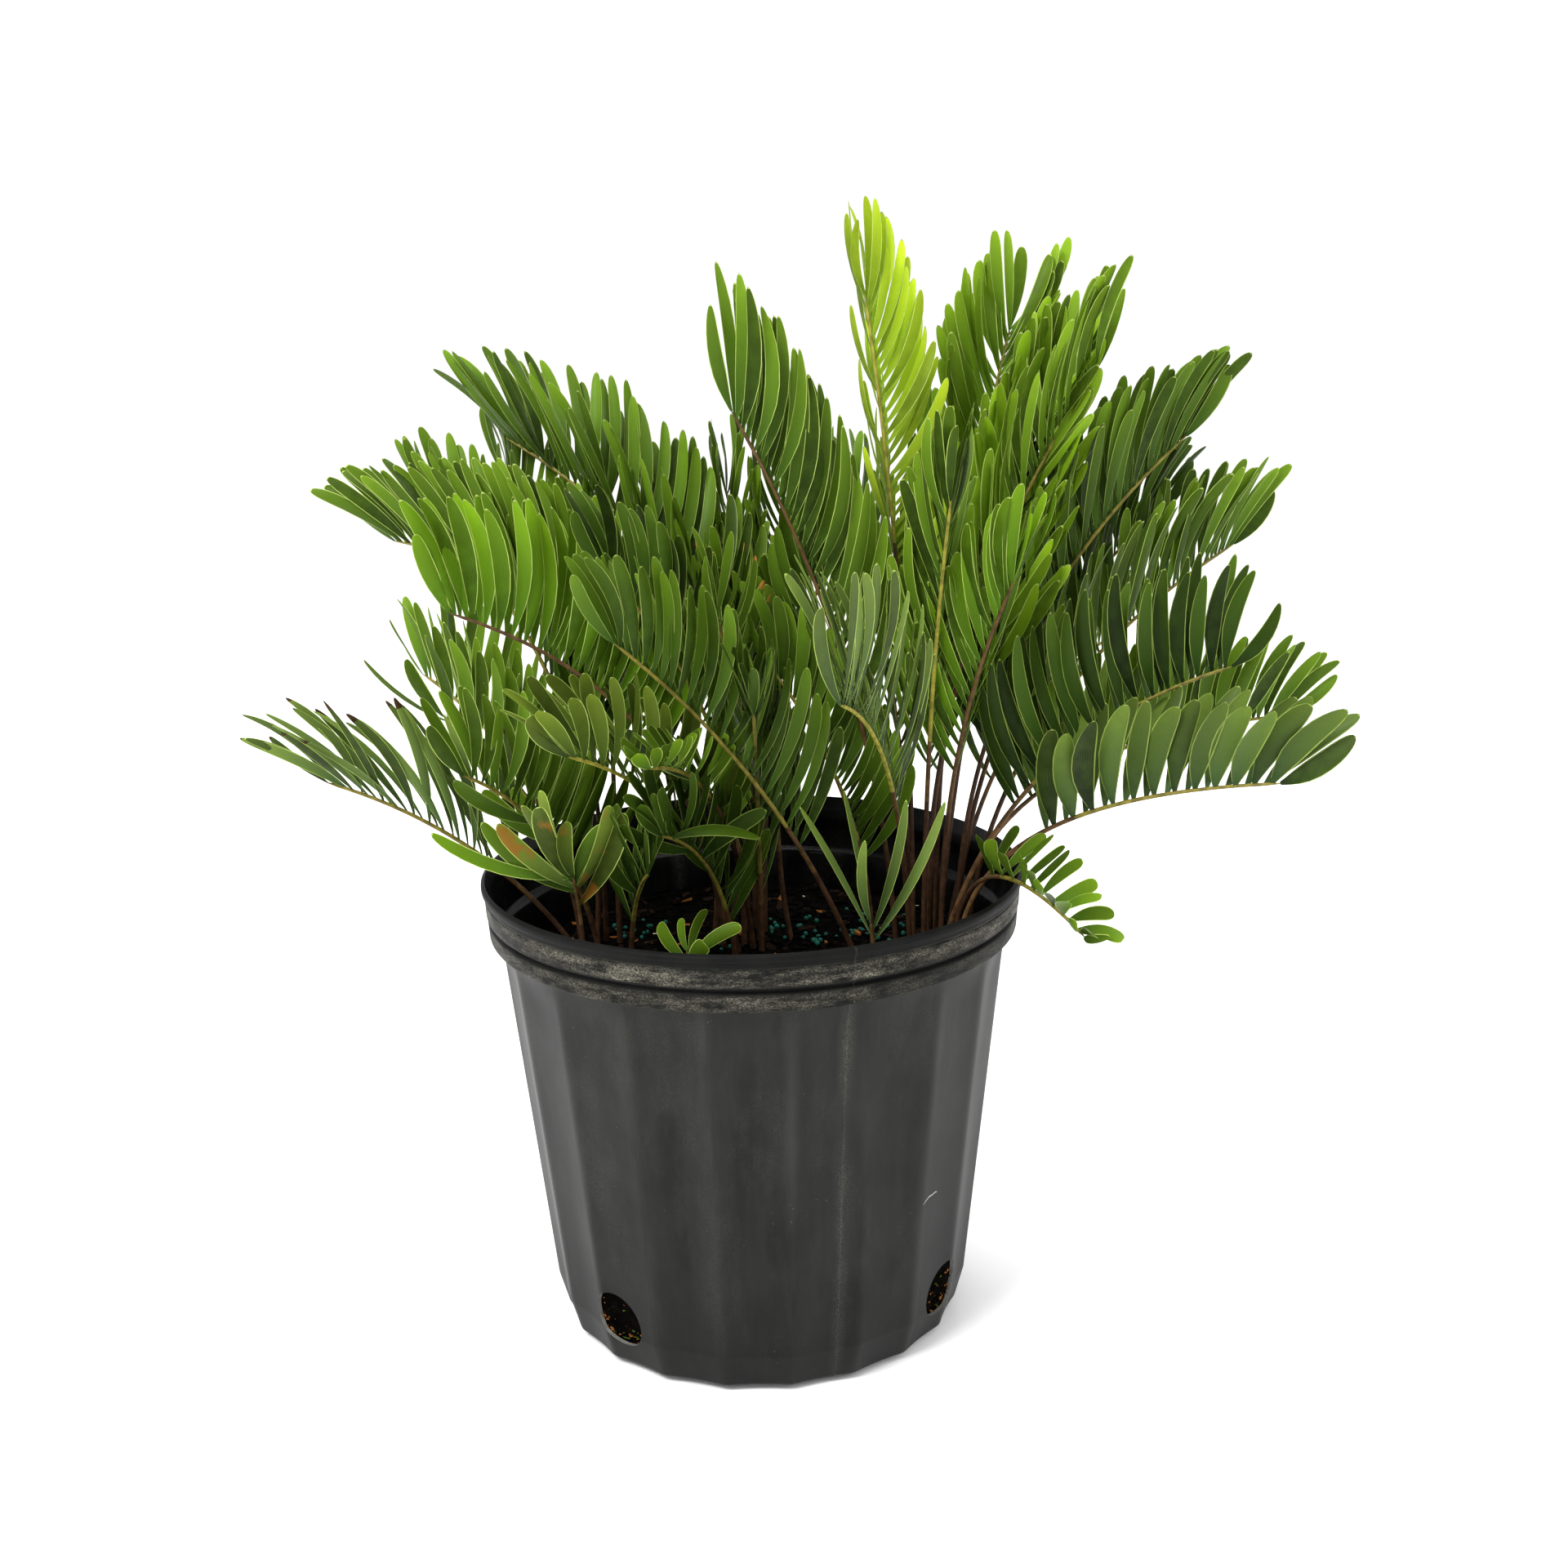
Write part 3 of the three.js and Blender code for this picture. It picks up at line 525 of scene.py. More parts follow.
class Shader:
    """A node material with short calls for the nodes that this scene uses."""

    def __init__(self, name, sheen):
        self.material = bpy.data.materials.new(name)
        self.material.use_nodes = True
        self.nodes = self.material.node_tree.nodes
        self.surface = self.nodes["Principled BSDF"]
        self.feed(self.surface, {"Specular IOR Level": sheen})

    def feed(self, node, values):
        """Numbers, colours or sockets into a node's inputs."""
        for socket, value in values.items():
            if isinstance(value, bpy.types.NodeSocket):
                self.material.node_tree.links.new(value, node.inputs[socket])
            else:
                node.inputs[socket].default_value = (*value, 1) if isinstance(value, tuple) else value

    def new(self, kind, values, **settings):
        """A node with its settings and inputs."""
        node = self.nodes.new(f"ShaderNode{kind}")
        for name, value in settings.items():
            setattr(node, name, value)
        self.feed(node, values)
        return node

    def place(self):
        """The place over the ground, in metres."""
        return self.new("TexCoord", {}).outputs["Object"]

    def split(self, source):
        return self.new("SeparateXYZ", {"Vector": source}).outputs

    def noise(self, scale, detail=4.0, upright=1.0, rough=0.55):
        squeezed = self.new("Mapping", {"Vector": self.place(), "Scale": Vector((1, 1, upright))})
        values = {"Vector": squeezed.outputs[0], "Scale": scale, "Detail": detail, "Roughness": rough}
        return self.new("TexNoise", values).outputs["Fac"]

    def patches(self, scale, low, high, least, most, *grain):
        """Noise mapped from low..high to least..most."""
        return self.ramp(self.noise(scale, *grain), low, high, least, most)

    def spots(self, scale):
        return self.new("TexVoronoi", {"Vector": self.place(), "Scale": scale}).outputs["Distance"]

    def ramp(self, source, low, high, start=0.0, end=1.0):
        """Source mapped from low..high to start..end and held there."""
        values = {"Value": source, "From Min": low, "From Max": high, "To Min": start, "To Max": end}
        return self.new("MapRange", values).outputs["Result"]

    def math(self, kind, first, second=0.0):
        return self.new("Math", {0: first, 1: second}, operation=kind).outputs[0]

    def times(self, first, *factors):
        for factor in factors:
            first = self.math("MULTIPLY", first, factor)
        return first

    def mix(self, share, first, second):
        """Colour between two others, each a colour or a socket."""
        return self.new("Mix", {0: share, 6: first, 7: second}, data_type="RGBA").outputs[2]

    def mix_by(self, color, factor):
        return self.new("VectorMath", {0: color, "Scale": factor}, operation="SCALE").outputs[0]

    def height(self, low, high):
        """From 0 to 1 between two heights over the ground, in millimetres."""
        return self.ramp(self.split(self.place())["Z"], low * MM, high * MM)

    def azimuth(self):
        """The place's azimuth from the front, towards the right, in degrees."""
        place = self.split(self.place())
        return self.times(self.math("ARCTAN2", place["X"], self.times(place["Y"], -1.0)), 180 / math.pi)

    def near(self, turn, first, step, reach):
        """1 at an azimuth and every step from it, down to 0 at a reach to either side."""
        share = self.math("FRACT", self.math("DIVIDE", self.math("ADD", turn, 720 - first), step))
        off = self.math("MINIMUM", share, self.math("SUBTRACT", 1.0, share))
        return self.ramp(off, reach / step, 0.0)

    def tone(self):
        """The tone that a batch gives each face."""
        return self.new("Attribute", {}, attribute_name="tone").outputs["Fac"]

    def bump(self, source, distance, strength=1.0):
        values = {"Strength": strength, "Distance": distance * MM, "Height": source}
        normal = self.new("Bump", values).outputs[0]
        self.feed(self.surface, {"Normal": normal})
        return normal


def scaled(color, factor):
    return tuple(min(1.0, channel * factor) for channel in color)


def leaf_material(name, color, glow, scorched=False):
    """Satin leaflet with fine parallel veins, and light coming through it."""
    shader = Shader(name, LEAF_SHEEN)
    mix, ramp = shader.mix, shader.ramp
    place = shader.new("UVMap", {}, uv_map="place").outputs[0]
    wave = shader.new("TexWave", {"Vector": place, "Scale": VEIN_SCALE}, bands_direction="X")
    veins = ramp(wave.outputs["Fac"], 0.0, VEIN_GROOVE)
    # painted shade at each leaflet's foot by the rib, fading to painted light at its tip
    ends = [tuple(channel * factor for channel, factor in zip(color, end)) for end in (LEAF_FOOT_SHADE, LEAF_TIP_LIGHT)]
    base = mix(ramp(shader.split(place)["Y"], *FOOT_TO_TIP), *ends)
    base = shader.mix_by(base, ramp(shader.tone(), -1, 1, *TONE_FACTORS))
    base = mix(shader.patches(*MOTTLE), base, scaled(color, MOTTLE_FACTOR))
    base = mix(ramp(veins, 0, 1, VEIN_SHARE, 0.0), base, scaled(color, VEIN_FACTOR))
    if scorched:
        base = mix(shader.patches(*SCORCH), base, SCORCH_COLOR)
    shader.feed(shader.surface, {"Base Color": base, "Roughness": LEAF_ROUGHNESS})
    normal = shader.bump(veins, *VEIN_BUMP)
    bright = mix(ramp(shader.tone(), -1, 1), *(scaled(color, factor) for factor in GLOW_FACTORS))
    through = shader.new("BsdfTranslucent", {"Color": bright, "Normal": normal})
    both = shader.new("MixShader", {0: glow, 1: shader.surface.outputs[0], 2: through.outputs[0]})
    shader.feed(shader.nodes["Material Output"], {"Surface": both.outputs[0]})
    return shader.material


def plain_material(name, color, roughness, scale, change, bump, sheen):
    """A colour broken up by fine noise; sheen is how much it mirrors."""
    shader = Shader(name, sheen)
    grain = shader.noise(scale, GRAIN_DETAIL)
    base = shader.mix(shader.ramp(grain, *GRAIN_RANGE), scaled(color, 1 - change), scaled(color, 1 + change))
    shader.feed(shader.surface, {"Base Color": base, "Roughness": roughness})
    shader.bump(grain, bump)
    return shader.material


def pot_material(name, color, roughness, scuffs, sheen):
    """Moulded black plastic: upright streaks, dust on ridges, seam and foot, and pale scuffs on the bands."""
    shader = Shader(name, sheen)
    mix, times, patches, near, height = shader.mix, shader.times, shader.patches, shader.near, shader.height
    streaks = shader.noise(*STREAKS)
    base = mix(shader.ramp(streaks, *STREAK_COLOR), *(scaled(color, factor) for factor in STREAK_FACTORS))
    base = mix(patches(*BLOTCHES), base, scaled(color, BLOTCH_FACTOR))
    specks = shader.ramp(shader.spots(SPECK_SCALE), *SPECK_SIZE)
    base = mix(times(specks, patches(*SPECKLED)), base, SPECK_COLOR)
    grit = patches(*GRIT)
    turn = shader.azimuth()
    if scuffs:
        upper = times(height(*LIP_CLEAR), height(*CLEAR_ABOVE_GROOVE))
        lower = times(height(*CLEAR_BELOW_GROOVE), LOWER_SCUFFS)
        clear = shader.math("MAXIMUM", upper, lower)
        worn = times(grit, patches(*CLOUD), patches(*BROAD), clear, scuffs)
        base = mix(worn, base, SCUFF_COLOR)
    else:
        ridge = near(turn, FIRST_RIDGE, 360 / FLUTES, RIDGE_REACH)
        base = mix(times(ridge, shader.ramp(streaks, *STREAK_RIDGE)), base, RIDGE_COLOR)
        rubbed = near(turn, SEAM_AZIMUTHS[0], 180, SEAM_REACH)
        base = mix(times(rubbed, patches(*PATCHY), grit), base, SEAM_COLOR)
        base = mix(times(patches(*WEAR), grit), base, WEAR_COLOR)
    line = near(turn, SEAM_AZIMUTHS[0], 180, LINE_REACH)
    base = mix(times(line, grit, LINE_STRENGTH), base, LINE_COLOR)
    dust = times(height(*DUST_HEIGHTS), patches(*DUST), DUST_STRENGTH)
    base = mix(dust, base, DUST_COLOR)
    base = shader.mix_by(base, shader.ramp(height(*SHADE_HEIGHTS), 0, 1, SHADE_BY_FLOOR, 1.0))
    rough = shader.ramp(streaks, *STREAK_GLOSS, *(roughness + change for change in GLOSS_CHANGE))
    shader.feed(shader.surface, {"Base Color": base, "Roughness": rough})
    shader.bump(shader.noise(*POT_GRAIN), *POT_BUMP)
    return shader.material


def make_materials():
    materials = {tint: leaf_material(f"leaflet_{tint}", color, glow, tint == "scorched")
                 for tint, (color, glow) in TINTS.items()}
    for slot, (name, colors, *rest) in FAMILIES.items():
        for kind, color in colors.items():
            materials[f"{slot}_{kind}"] = plain_material(f"{name}_{kind}", color, *rest)
    for slot, look in PLASTICS.items():
        materials[slot] = pot_material(slot, *look)
    for slot, look in PLAIN.items():
        materials[slot] = plain_material(*look)
    return materials


def bezier(start, middle, end, t):
    return start * (1 - t) ** 2 + middle * 2 * t * (1 - t) + end * t ** 2


def rounded(profile, size, steps=3):
    """A profile of (radius, height) points with its inner corners rounded."""
    points = [profile[0]]
    for before, corner, after in zip(profile, profile[1:], profile[2:]):
        corner_v = Vector(corner)
        start = Vector(before) - corner_v
        end = Vector(after) - corner_v
        near = corner_v + start.normalized() * min(size, 0.4 * start.length)
        far = corner_v + end.normalized() * min(size, 0.4 * end.length)
        points += [tuple(bezier(near, corner_v, far, i / steps)) for i in range(steps + 1)]
    return points + [profile[-1]]


def flute_cut(height, azimuth):
    """How far a flute cuts into the wall at a height and an azimuth from the front."""
    fade = min(1.0, max(0.0, (POT_HEIGHT - BAND_HEIGHT - height) / FLUTE_FADE))
    across = ((azimuth - FIRST_RIDGE) * FLUTES / 360) % 1
    off = min(across, 1 - across)
    bow = 4 * off * (1 - off)
    if off < RIDGE_ROUND:
        bow = 2 * RIDGE_ROUND + 2 * (1 - 2 * RIDGE_ROUND) / RIDGE_ROUND * off ** 2
    return FLUTE_DEPTH * math.sin(fade * math.pi / 2) * bow


def seam(azimuth):
    """The thin line that the mould leaves up each side."""
    off = min(abs((azimuth - at + 180) % 360 - 180) for at in SEAM_AZIMUTHS)
    return SEAM_HEIGHT * math.exp(-(off / SEAM_WIDTH) ** 2)


def circle(sides):
    """Cosine and sine of even steps round a circle."""
    return [(math.cos(math.tau * i / sides), math.sin(math.tau * i / sides)) for i in range(sides)]


def at_azimuth(radius, azimuth, height):
    """A point by its azimuth from the front, towards the right."""
    turn = math.radians(azimuth)
    return Vector((radius * math.sin(turn), -radius * math.cos(turn), height))


def body_radius(height):
    """The outer radius of the pot's ridges at a height on its body."""
    share = (height - HEEL_HEIGHT) / (NECK_HEIGHT - HEEL_HEIGHT)
    return HEEL_RADIUS + (NECK_RADIUS - HEEL_RADIUS) * share


def pot_side(offset):
    """Outer face of the pot from the foot to the rim, moved in by an offset."""
    groove = POT_HEIGHT - GROOVE_DOWN
    line = POT_HEIGHT - BAND_LINE_DOWN
    lip = POT_HEIGHT - LIP_HEIGHT
    points = [
        (FOOT_RADIUS, offset),
        (FOOT_RADIUS + FOOT_CORNER_OUT, FOOT_CORNER_HEIGHT + offset),
        *((body_radius(height), height) for height in BODY_HEIGHTS),
        (NECK_RADIUS, NECK_HEIGHT),
        (LOWER_BAND_RADIUS, POT_HEIGHT - BAND_HEIGHT),
        (LOWER_BAND_RADIUS + BAND_FLARE, groove - GROOVE_HEIGHT - GROOVE_EDGE),
        (GROOVE_RADIUS, groove - GROOVE_HEIGHT / 2),
        (UPPER_BAND_RADIUS, groove + GROOVE_EDGE),
        (UPPER_BAND_RADIUS + BAND_SWELL, line - BAND_LINE_REACH),
        (UPPER_BAND_RADIUS - BAND_LINE_DEPTH, line),
        (UPPER_BAND_RADIUS + BAND_SWELL, line + BAND_LINE_REACH),
        (UPPER_BAND_RADIUS + BAND_FLARE, lip),
        (RIM_RADIUS, lip + RIM_ROUND),
    ]
    return [(radius - offset, height) for radius, height in points]


def turned(batch, profile, turn_in):
    """A profile turned round the axis, with flutes and seams in it, whose inside begins at turn_in."""
    count = FLUTES * STEPS_PER_FLUTE
    even = [FIRST_RIDGE + 360 * i / count for i in range(count)]
    close = [at + off for at in SEAM_AZIMUTHS for off in SEAM_STEPS]
    azimuths = sorted({round(a % 360, 4) for a in even + close})
    rows = []
    for radius, height in profile:
        outer = radius > HEEL_RADIUS / 2
        rows.append([])
        for azimuth in azimuths:
            change = seam(azimuth) - flute_cut(height, azimuth) if outer else 0
            rows[-1].append(at_azimuth(max(radius, 0.01) + change, azimuth, height))

    def slot(i, _):
        if i >= turn_in:
            return "pot_inside"
        return "pot_band" if min(profile[i][1], profile[i + 1][1]) > NECK_HEIGHT else "pot_body"

    batch.grid(rows, slot, wrap=True)


def drain_cutter(azimuth, lean, materials, sides=48):
    """An oval cutter through the bottom corner, whose cut shows the worn edge."""
    up = Matrix.Translation((0, 0, DRAIN_HEIGHT))
    turn = Matrix.Rotation(math.radians(azimuth) - math.pi, 4, "Z")
    out = Matrix.Translation((0, HEEL_RADIUS - DRAIN_INSET, 0))
    place = up @ turn @ out @ Matrix.Rotation(math.radians(lean), 4, "Y")
    rows = [[place @ Vector((DRAIN_WIDTH / 2 * cos, end * DRAIN_DEPTH, DRAIN_LENGTH / 2 * sin))
             for cos, sin in circle(sides)] for end in (0.5, -0.5)]
    batch = Batch()
    batch.grid(rows, "pot_edge", wrap=True)
    for corners in (reversed(range(sides)), range(sides, 2 * sides)):
        batch.face(corners, "pot_edge", [(0.5, 0.5)] * sides)
    return batch.piece("drain_cutter", materials)


def make_pot(materials):
    """The shell, outside and in, with its drain holes cut."""
    bands = POT_HEIGHT - BAND_HEIGHT
    groove_wall = GROOVE_RADIUS - WALL
    outer = [(0, 0), *pot_side(0), (RIM_RADIUS, POT_HEIGHT - RIM_ROUND), (RIM_RADIUS - WALL, POT_HEIGHT)]
    inner = [(groove_wall + out, bands + height) for out, height in INNER_RIDGES]
    inner += [(groove_wall, bands)]
    inner += [point for point in reversed(pot_side(WALL)) if point[1] < bands - 1]
    inner += [(0, WALL)]
    outside = rounded(outer, CORNER_ROUND)
    within = rounded([outer[-1]] + inner, CORNER_ROUND)
    batch = Batch()
    turned(batch, outside + within[1:], len(outside) - 1)
    pot = batch.piece("pot_shell", materials)
    for azimuth, lean in DRAIN_HOLES:
        cutter = drain_cutter(azimuth, lean, materials)
        cut = pot.modifiers.new("drain", "BOOLEAN")
        cut.operation = "DIFFERENCE"
        cut.solver = "EXACT"
        cut.material_mode = "TRANSFER"
        cut.object = cutter
        mesh = bpy.data.meshes.new_from_object(pot.evaluated_get(bpy.context.evaluated_depsgraph_get()))
        pot.modifiers.clear()
        pot.data = mesh
        bpy.data.objects.remove(cutter)
    pot.data.set_sharp_from_angle(angle=math.radians(SHARP_ANGLE))
    return pot


def make_scratch(materials):
    """A thin pale line that lies on the pot's wall."""
    batch = Batch()
    last = len(SCRATCH) - 1
    rows = []
    for i, (azimuth, height) in enumerate(SCRATCH):
        half = SCRATCH_WIDTH / 2 * (SCRATCH_END if i in (0, last) else 1)
        rows.append([at_azimuth(body_radius(h) - flute_cut(h, azimuth) + SCRATCH_PROUD, azimuth, h)
                     for h in (height - half, height + half)])
    batch.grid(rows, "scratch")
    return batch.piece("pot_scratch", materials)


def chip(batch, place, size, slot, rng):
    """A rough splinter: a box with every corner moved."""
    turn = (Matrix.Rotation(rng.uniform(0, math.tau), 3, "Z")
            @ Matrix.Rotation(rng.uniform(-CHIP_LEAN, CHIP_LEAN), 3, "X"))
    length = size * rng.uniform(*CHIP_LENGTH)
    start = len(batch.points)
    for x in (-1, 1):
        for y in (-1, 1):
            for z in (-1, 1):
                stray = Vector([rng.uniform(-CHIP_STRAY, CHIP_STRAY) for _ in range(3)])
                corner = Vector((x * length, y * size * CHIP_BREADTH, z * size * CHIP_HEIGHT)) / 2
                batch.points.append(place + turn @ (corner + stray * size * CHIP_STRAY_BY_SIZE))
    for face in ((0, 1, 3, 2), (4, 6, 7, 5), (0, 4, 5, 1), (2, 3, 7, 6), (0, 2, 6, 4), (1, 5, 7, 3)):
        batch.face((start + i for i in face), slot, ((0, 0), (1, 0), (1, 1), (0, 1)))


def ball(batch, place, radius, slot, sides=8):
    rows = []
    steps = sides // 2
    for i in range(steps, -1, -1):
        lean = math.pi * i / steps
        ring = max(math.sin(lean), 0.02) * radius
        height = math.cos(lean) * radius
        rows.append([place + Vector((ring * cos, ring * sin, height)) for cos, sin in circle(sides)])
    batch.grid(rows, slot, wrap=True)


def soil_height(x, y):
    place = Vector((x, y, 0))
    return SOIL_TOP + SOIL_ROUGH * sum(high * noise.noise(place / wide) for high, wide in SOIL_WAVES)


def soil_radius(height, azimuth, gap):
    """The radius at a gap from the pot's wall, which draws in below the heel."""
    on_body = max(height, HEEL_HEIGHT)
    return (body_radius(on_body) - WALL - flute_cut(on_body, azimuth) - gap
            - max(0, HEEL_HEIGHT - height) * SOIL_DRAW_IN)


def make_soil(materials, turns=120, rings=44):
    """The mix: a rough top, and sides that show through the drain holes."""
    batch = Batch()
    azimuths = [360 * i / turns for i in range(turns)]
    rows = [[at_azimuth(0.01, a, SOIL_SIDES[0]) for a in azimuths]]
    for height in (*SOIL_SIDES, SOIL_TOP):
        gap = SOIL_LOW_GAP if height < HEEL_HEIGHT else SOIL_GAP
        rows.append([at_azimuth(soil_radius(height, a, gap), a, height) for a in azimuths])
    for ring in range(rings, -1, -1):
        row = []
        for azimuth in azimuths:
            radius = soil_radius(SOIL_TOP, azimuth, SOIL_GAP) * max(ring / rings, 1e-4)
            flat = at_azimuth(radius, azimuth, 0)
            row.append(Vector((flat.x, flat.y, soil_height(flat.x, flat.y))))
        rows.append(row)
    batch.grid(rows, "mix", wrap=True)
    return batch.piece("mix_surface", materials)


def make_bits(materials):
    """Bark, cream bits and fertiliser beads on the mix, and bark and moss behind the drain holes."""
    rng = random.Random(BITS_SEED)
    bark, beads = Batch(), Batch()
    for _ in range(BIT_COUNT):
        radius = BIT_REACH * math.sqrt(rng.random())
        turn = rng.uniform(0, math.tau)
        x, y = radius * math.cos(turn), radius * math.sin(turn)
        share = rng.random()
        slot, sizes = next(kind for limit, *kind in BIT_KINDS if share < limit)
        chip(bark, Vector((x, y, soil_height(x, y) + BIT_LIFT)), rng.uniform(*sizes), slot, rng)
    for x, y, spread in BEAD_CLUSTERS:
        for _ in range(BEADS_EACH):
            bx = x + rng.gauss(0, spread * BEAD_SCATTER)
            by = y + rng.gauss(0, spread * BEAD_SCATTER)
            ball(beads, Vector((bx, by, soil_height(bx, by) + BEAD_LIFT)), rng.uniform(*BEAD_RADIUS), "bead")
    for azimuth, _ in DRAIN_HOLES:
        for _ in range(HOLE_BIT_COUNT):
            angle = azimuth + rng.uniform(-HOLE_BIT_TURN, HOLE_BIT_TURN)
            height = DRAIN_HEIGHT + rng.uniform(-HOLE_BIT_RISE, HOLE_BIT_RISE)
            place = at_azimuth(soil_radius(height, angle, HOLE_BIT_GAP), angle, height)
            slot = rng.choice(HOLE_BIT_KINDS)
            chip(bark, place, rng.uniform(*HOLE_BIT_SIZE), slot, rng)
    return bark.piece("mix_bark", materials, smooth=False), beads.piece("mix_beads", materials)


def row_of(entry):
    name, crown, form, azimuth, reach, height, bow, own = entry
    row = {**USUAL, **dict(zip(FORM_KEYS, FORMS[form])), **own}
    row.update(name=name, crown=crown, azimuth=azimuth, reach=reach, height=height, bow=bow)
    return row


class Rib:
    """The curve of a frond's rib from its foot on the mix to its tip, even along its length."""

    STEPS = 60

    def __init__(self, row):
        crown = Vector((*CROWNS[row["crown"]], 0))
        turn = math.radians(row["azimuth"])
        way = Vector((math.cos(turn), math.sin(turn), 0))
        foot = crown + way * row.get("ring", RING_OF_REACH * row["reach"]) + UP * FOOT_HEIGHT
        tip = crown + way * row["reach"] + UP * row["height"]
        self.side = UP.cross(way)
        line = tip - foot
        normal = line.cross(self.side).normalized()
        middle = foot.lerp(tip, row["bend"]) + normal * 2 * row["bow"] * line.length
        self.corners = (foot, middle, tip)
        self.lengths = [0.0]
        points = [bezier(*self.corners, i / self.STEPS) for i in range(self.STEPS + 1)]
        for before, after in zip(points, points[1:]):
            self.lengths.append(self.lengths[-1] + (after - before).length)
        self.length = self.lengths[-1]

    def time(self, share):
        goal = min(max(share, 0.0), 1.0) * self.length
        for i, (low, high) in enumerate(zip(self.lengths, self.lengths[1:])):
            if goal <= high:
                return (i + (goal - low) / (high - low)) / self.STEPS
        return 1.0

    def frame(self, share, roll=0.0):
        """Place on the rib, and the ways along it, across it and out of the flat of the frond."""
        t = self.time(share)
        foot, middle, tip = self.corners
        along = ((middle - foot) * (1 - t) + (tip - middle) * t).normalized()
        across = (self.side - along * self.side.dot(along)).normalized()
        across = Matrix.Rotation(math.radians(roll), 3, along) @ across
        return bezier(*self.corners, t), along, across, along.cross(across)


def add_rib(batch, rib, row, rings=30, sides=8):
    """A tapering stalk: red-brown and bare below, then the frond's own rib colour."""
    rows = []
    for i in range(rings + 1):
        share = i / rings
        place, _, across, out = rib.frame(share)
        radius = RIB_FOOT_RADIUS + (RIB_TIP_RADIUS - RIB_FOOT_RADIUS) * share ** RIB_TAPER_POWER
        if i == rings:
            radius *= RIB_END
        rows.append([place + (across * cos + out * sin) * radius for cos, sin in circle(sides)])

    def slot(i, _):
        share = i / rings
        if share < row["bare"] * STALK_OF_BARE:
            return f"rib_{row['stalk']}"
        return "rib_brown" if share < row["bare"] + BROWN_PAST_BARE else f"rib_{row['rib']}"

    batch.grid(rows, slot, wrap=True)


def leaflet_width(t, blunt):
    """Share of the full width at a share of the length."""
    widest, swell, power = (start + change * blunt for start, change in (WIDEST, SWELL_POWER, TIP_POWER))
    foot = FOOT_WIDTH + (1 - FOOT_WIDTH) * math.sin(min(t / widest, 1.0) * math.pi / 2) ** swell
    tip = math.sqrt(max(0.0, 1 - max(0.0, (t - widest) / (1 - widest)) ** power))
    return max(foot * tip, LEAST_WIDTH)


def add_leaflet(batch, place, along, flat, length, width, row, rng, tips=None):
    """A strap-shaped leaflet with a pale margin, bowed back a little and cupped."""
    across = (flat - along * flat.dot(along)).normalized()
    face = along.cross(across)
    sickle = length * rng.uniform(*SICKLE)
    arch = length * rng.uniform(*ARCH)
    cup = rng.uniform(*CUP) * rng.choice((1, 1, -1))
    twist = math.radians(rng.uniform(-TWIST, TWIST))
    tone = rng.uniform(-1, 1)
    rows = []
    for t in ALONG:
        middle = place + along * (length * t) + (face * arch - across * sickle) * 4 * t * (1 - t)
        turn = twist * t
        wide = across * math.cos(turn) + face * math.sin(turn)
        proud = face * math.cos(turn) - across * math.sin(turn)
        half = width / 2 * leaflet_width(t, row["blunt"])
        rows.append([middle + wide * (half * c) + proud * (cup * half * c * c) for c in ACROSS])
    last = len(ALONG) - 2
    margin = "margin_pale" if row["tint"] in PALE_MARGINED else "margin_dull"

    def slot(i, j):
        if tips is not None and i >= last - tips:
            return f"tip_{row['tips']}"
        if i == last or (i > 0 and j in (0, len(ACROSS) - 2)):
            return margin
        return row["tint"]

    batch.grid(rows, slot, tone)


def add_leaflets(batch, rib, row, seed):
    """The part's rule with life-size leaflets: pairs from the bare stalk's end to the tip, and one there."""
    rng = random.Random(seed)
    zone = (1 - row["bare"]) * rib.length
    last = max(2, round(zone / row["spacing"]))
    for pair in range(last + 1):
        outward = pair / last
        for side in ((0,) if pair == last else (1, -1)):
            placed = 1 - (1 - min(1.0, outward + (PAIR_LAG / last if side < 0 else 0))) ** TIP_CROWDING
            share = row["bare"] + (1 - row["bare"]) * placed
            place, along, across, out = rib.frame(share, row["roll"])
            closing = 1 - row["fan"] * outward ** 2 - TIP_CLOSING * outward ** CLOSING_POWER
            lift = row["lift"] * closing
            length = row["length"] * (1 - row["taper"] * outward ** 2) * rng.uniform(*LENGTH_SPREAD)
            if side == 0:
                opened = 0
                rise = row["rise"]
                lift += row["tip_lift"]
                length *= TIP_SIZE
            else:
                opened = row["open"] * closing + rng.uniform(-1, 1) * OPEN_JITTER * row["loose"]
                rise = row["rise"] + rng.uniform(-1, 1) * RISE_JITTER * row["loose"]
            opened, rise = math.radians(opened), math.radians(rise)
            way = (along * math.cos(opened) + across * (math.sin(opened) * math.cos(rise) * side)
                   + out * (math.sin(opened) * math.sin(rise)) + UP * lift).normalized()
            flat = across * math.cos(rise) + out * math.sin(rise) if side == 0 else along
            tips = rng.choice((0, 1, 2)) if row["tips"] and rng.random() < SCORCHED_SHARE else None
            width = row["width"] * rng.uniform(*WIDTH_SPREAD)
            add_leaflet(batch, place, way, flat, length, width, row, rng, tips)


def add_singles(batch, ribs, rng):
    for frond in filter(ribs.get, SINGLES):
        for share, way, length, width, tint in SINGLES[frond]:
            place = ribs[frond].frame(share)[0]
            way = Vector(way).normalized()
            row = {"tint": tint, "blunt": SINGLE_BLUNT}
            add_leaflet(batch, place, way, way.cross(FRONT), length, width, row, rng)


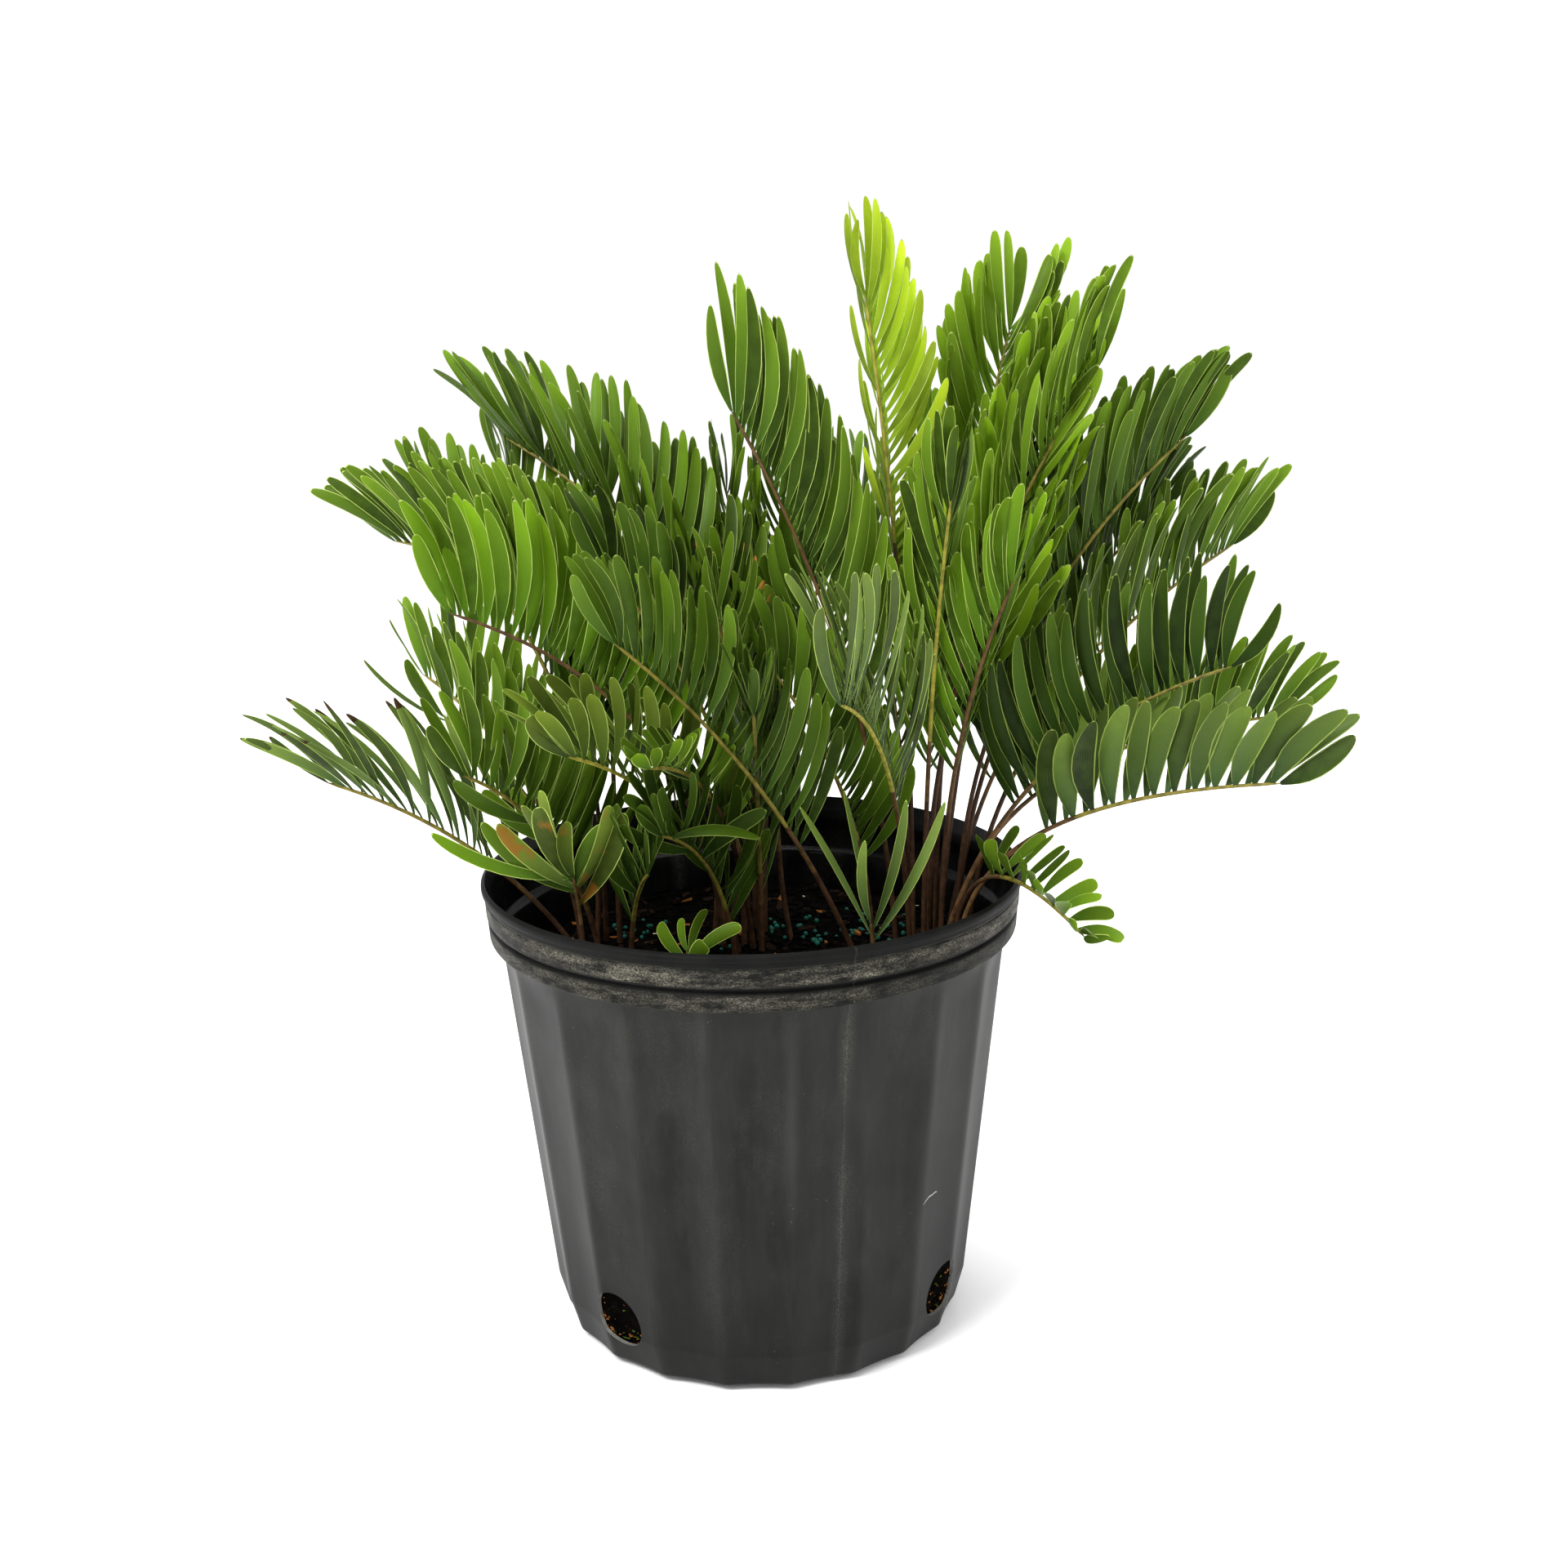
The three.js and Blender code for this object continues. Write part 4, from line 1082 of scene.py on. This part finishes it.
def add_seedling(leaflets, ribs, rng):
    """Thin stalks out of the mix, each with one small leaf."""
    foot = Vector((*SEEDLING, FOOT_HEIGHT))
    ring = [Vector((cos, sin, 0)) * SEEDLING_RADIUS for cos, sin in circle(6)]
    for height, way, length, width in SEEDLING_LEAVES:
        way = Vector(way).normalized()
        head = foot + UP * height + Vector((way.x, way.y, 0)) * height * SEEDLING_LEAN
        middle = foot.lerp(head, 0.5) + UP * SEEDLING_BOW
        ribs.grid([[place + off for off in ring] for place in (foot, middle, head)], "rib_olive", wrap=True)
        add_leaflet(leaflets, head, way, way.cross(FRONT), length, width, {"tint": "mid", "blunt": 1.0}, rng)


def make_fronds(materials):
    """The fronds of each crown: one piece of leaflets and one of ribs, which stand for its nodes."""
    pieces = []
    for crown in CROWNS:
        leaflets, ribs = Batch(), Batch()
        curves = {}
        for index, entry in enumerate(FRONDS):
            row = row_of(entry)
            if row["crown"] == crown:
                curves[row["name"]] = rib = Rib(row)
                add_rib(ribs, rib, row)
                add_leaflets(leaflets, rib, row, FROND_SEED + SEED_STEP * index)
        nodes = [f"frond_{name}" for name in curves]
        rng = random.Random(crown)
        add_singles(leaflets, curves, rng)
        if crown == "middle":
            add_seedling(leaflets, ribs, rng)
        for batch, kind in ((leaflets, "leaflets"), (ribs, "ribs")):
            piece = batch.piece(f"{crown}_{kind}", materials)
            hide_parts(*nodes)
            pieces.append(piece)
    return pieces


def make_camera():
    camera = new_object("camera", bpy.data.cameras.new("camera"))
    camera.data.lens = CAMERA_LENS
    camera.data.sensor_width = CAMERA_SENSOR
    camera.data.clip_start = 0.01
    pitch = Matrix.Rotation(math.pi / 2 - math.radians(CAMERA_PITCH), 4, "X")
    roll = Matrix.Rotation(math.radians(CAMERA_ROLL), 4, "Z")
    camera.matrix_world = Matrix.Translation(Vector(CAMERA_PLACE) * MM) @ pitch @ roll
    bpy.context.scene.camera = camera


def make_studio(materials):
    """A pale floor, a white surround and soft lights."""
    world = bpy.data.worlds.new("surround")
    world.use_nodes = True
    background = world.node_tree.nodes["Background"]
    background.inputs["Color"].default_value = (1, 1, 1, 1)
    background.inputs["Strength"].default_value = SURROUND
    bpy.context.scene.world = world
    bpy.context.scene.view_settings.view_transform = "Standard"
    for name, place, size, power in LIGHTS:
        light = new_object(name, bpy.data.lights.new(name, "AREA"))
        light.data.shape = "SQUARE"
        light.data.size = size
        light.data.energy = power
        light.location = place
        light.rotation_euler = (Vector(LIGHT_AIM) - Vector(place)).to_track_quat("-Z", "Y").to_euler()
    floor = Batch()
    ends = (-FLOOR_REACH, FLOOR_REACH)
    floor.grid([[Vector((x, y, 0)) for x in ends] for y in ends], "floor")
    obj = floor.piece("floor", materials)


materials = make_materials()
make_camera()
make_studio(materials)

pot = make_pot(materials)
scratch = make_scratch(materials)
for piece in (pot, scratch):
    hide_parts("pot")
soil = make_soil(materials)
bark, beads = make_bits(materials)
for piece in (soil, bark, beads):
    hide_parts("potting_mix")
fronds = make_fronds(materials)
for piece in (pot, scratch, soil, bark, beads, *fronds):
    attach(piece, "root")
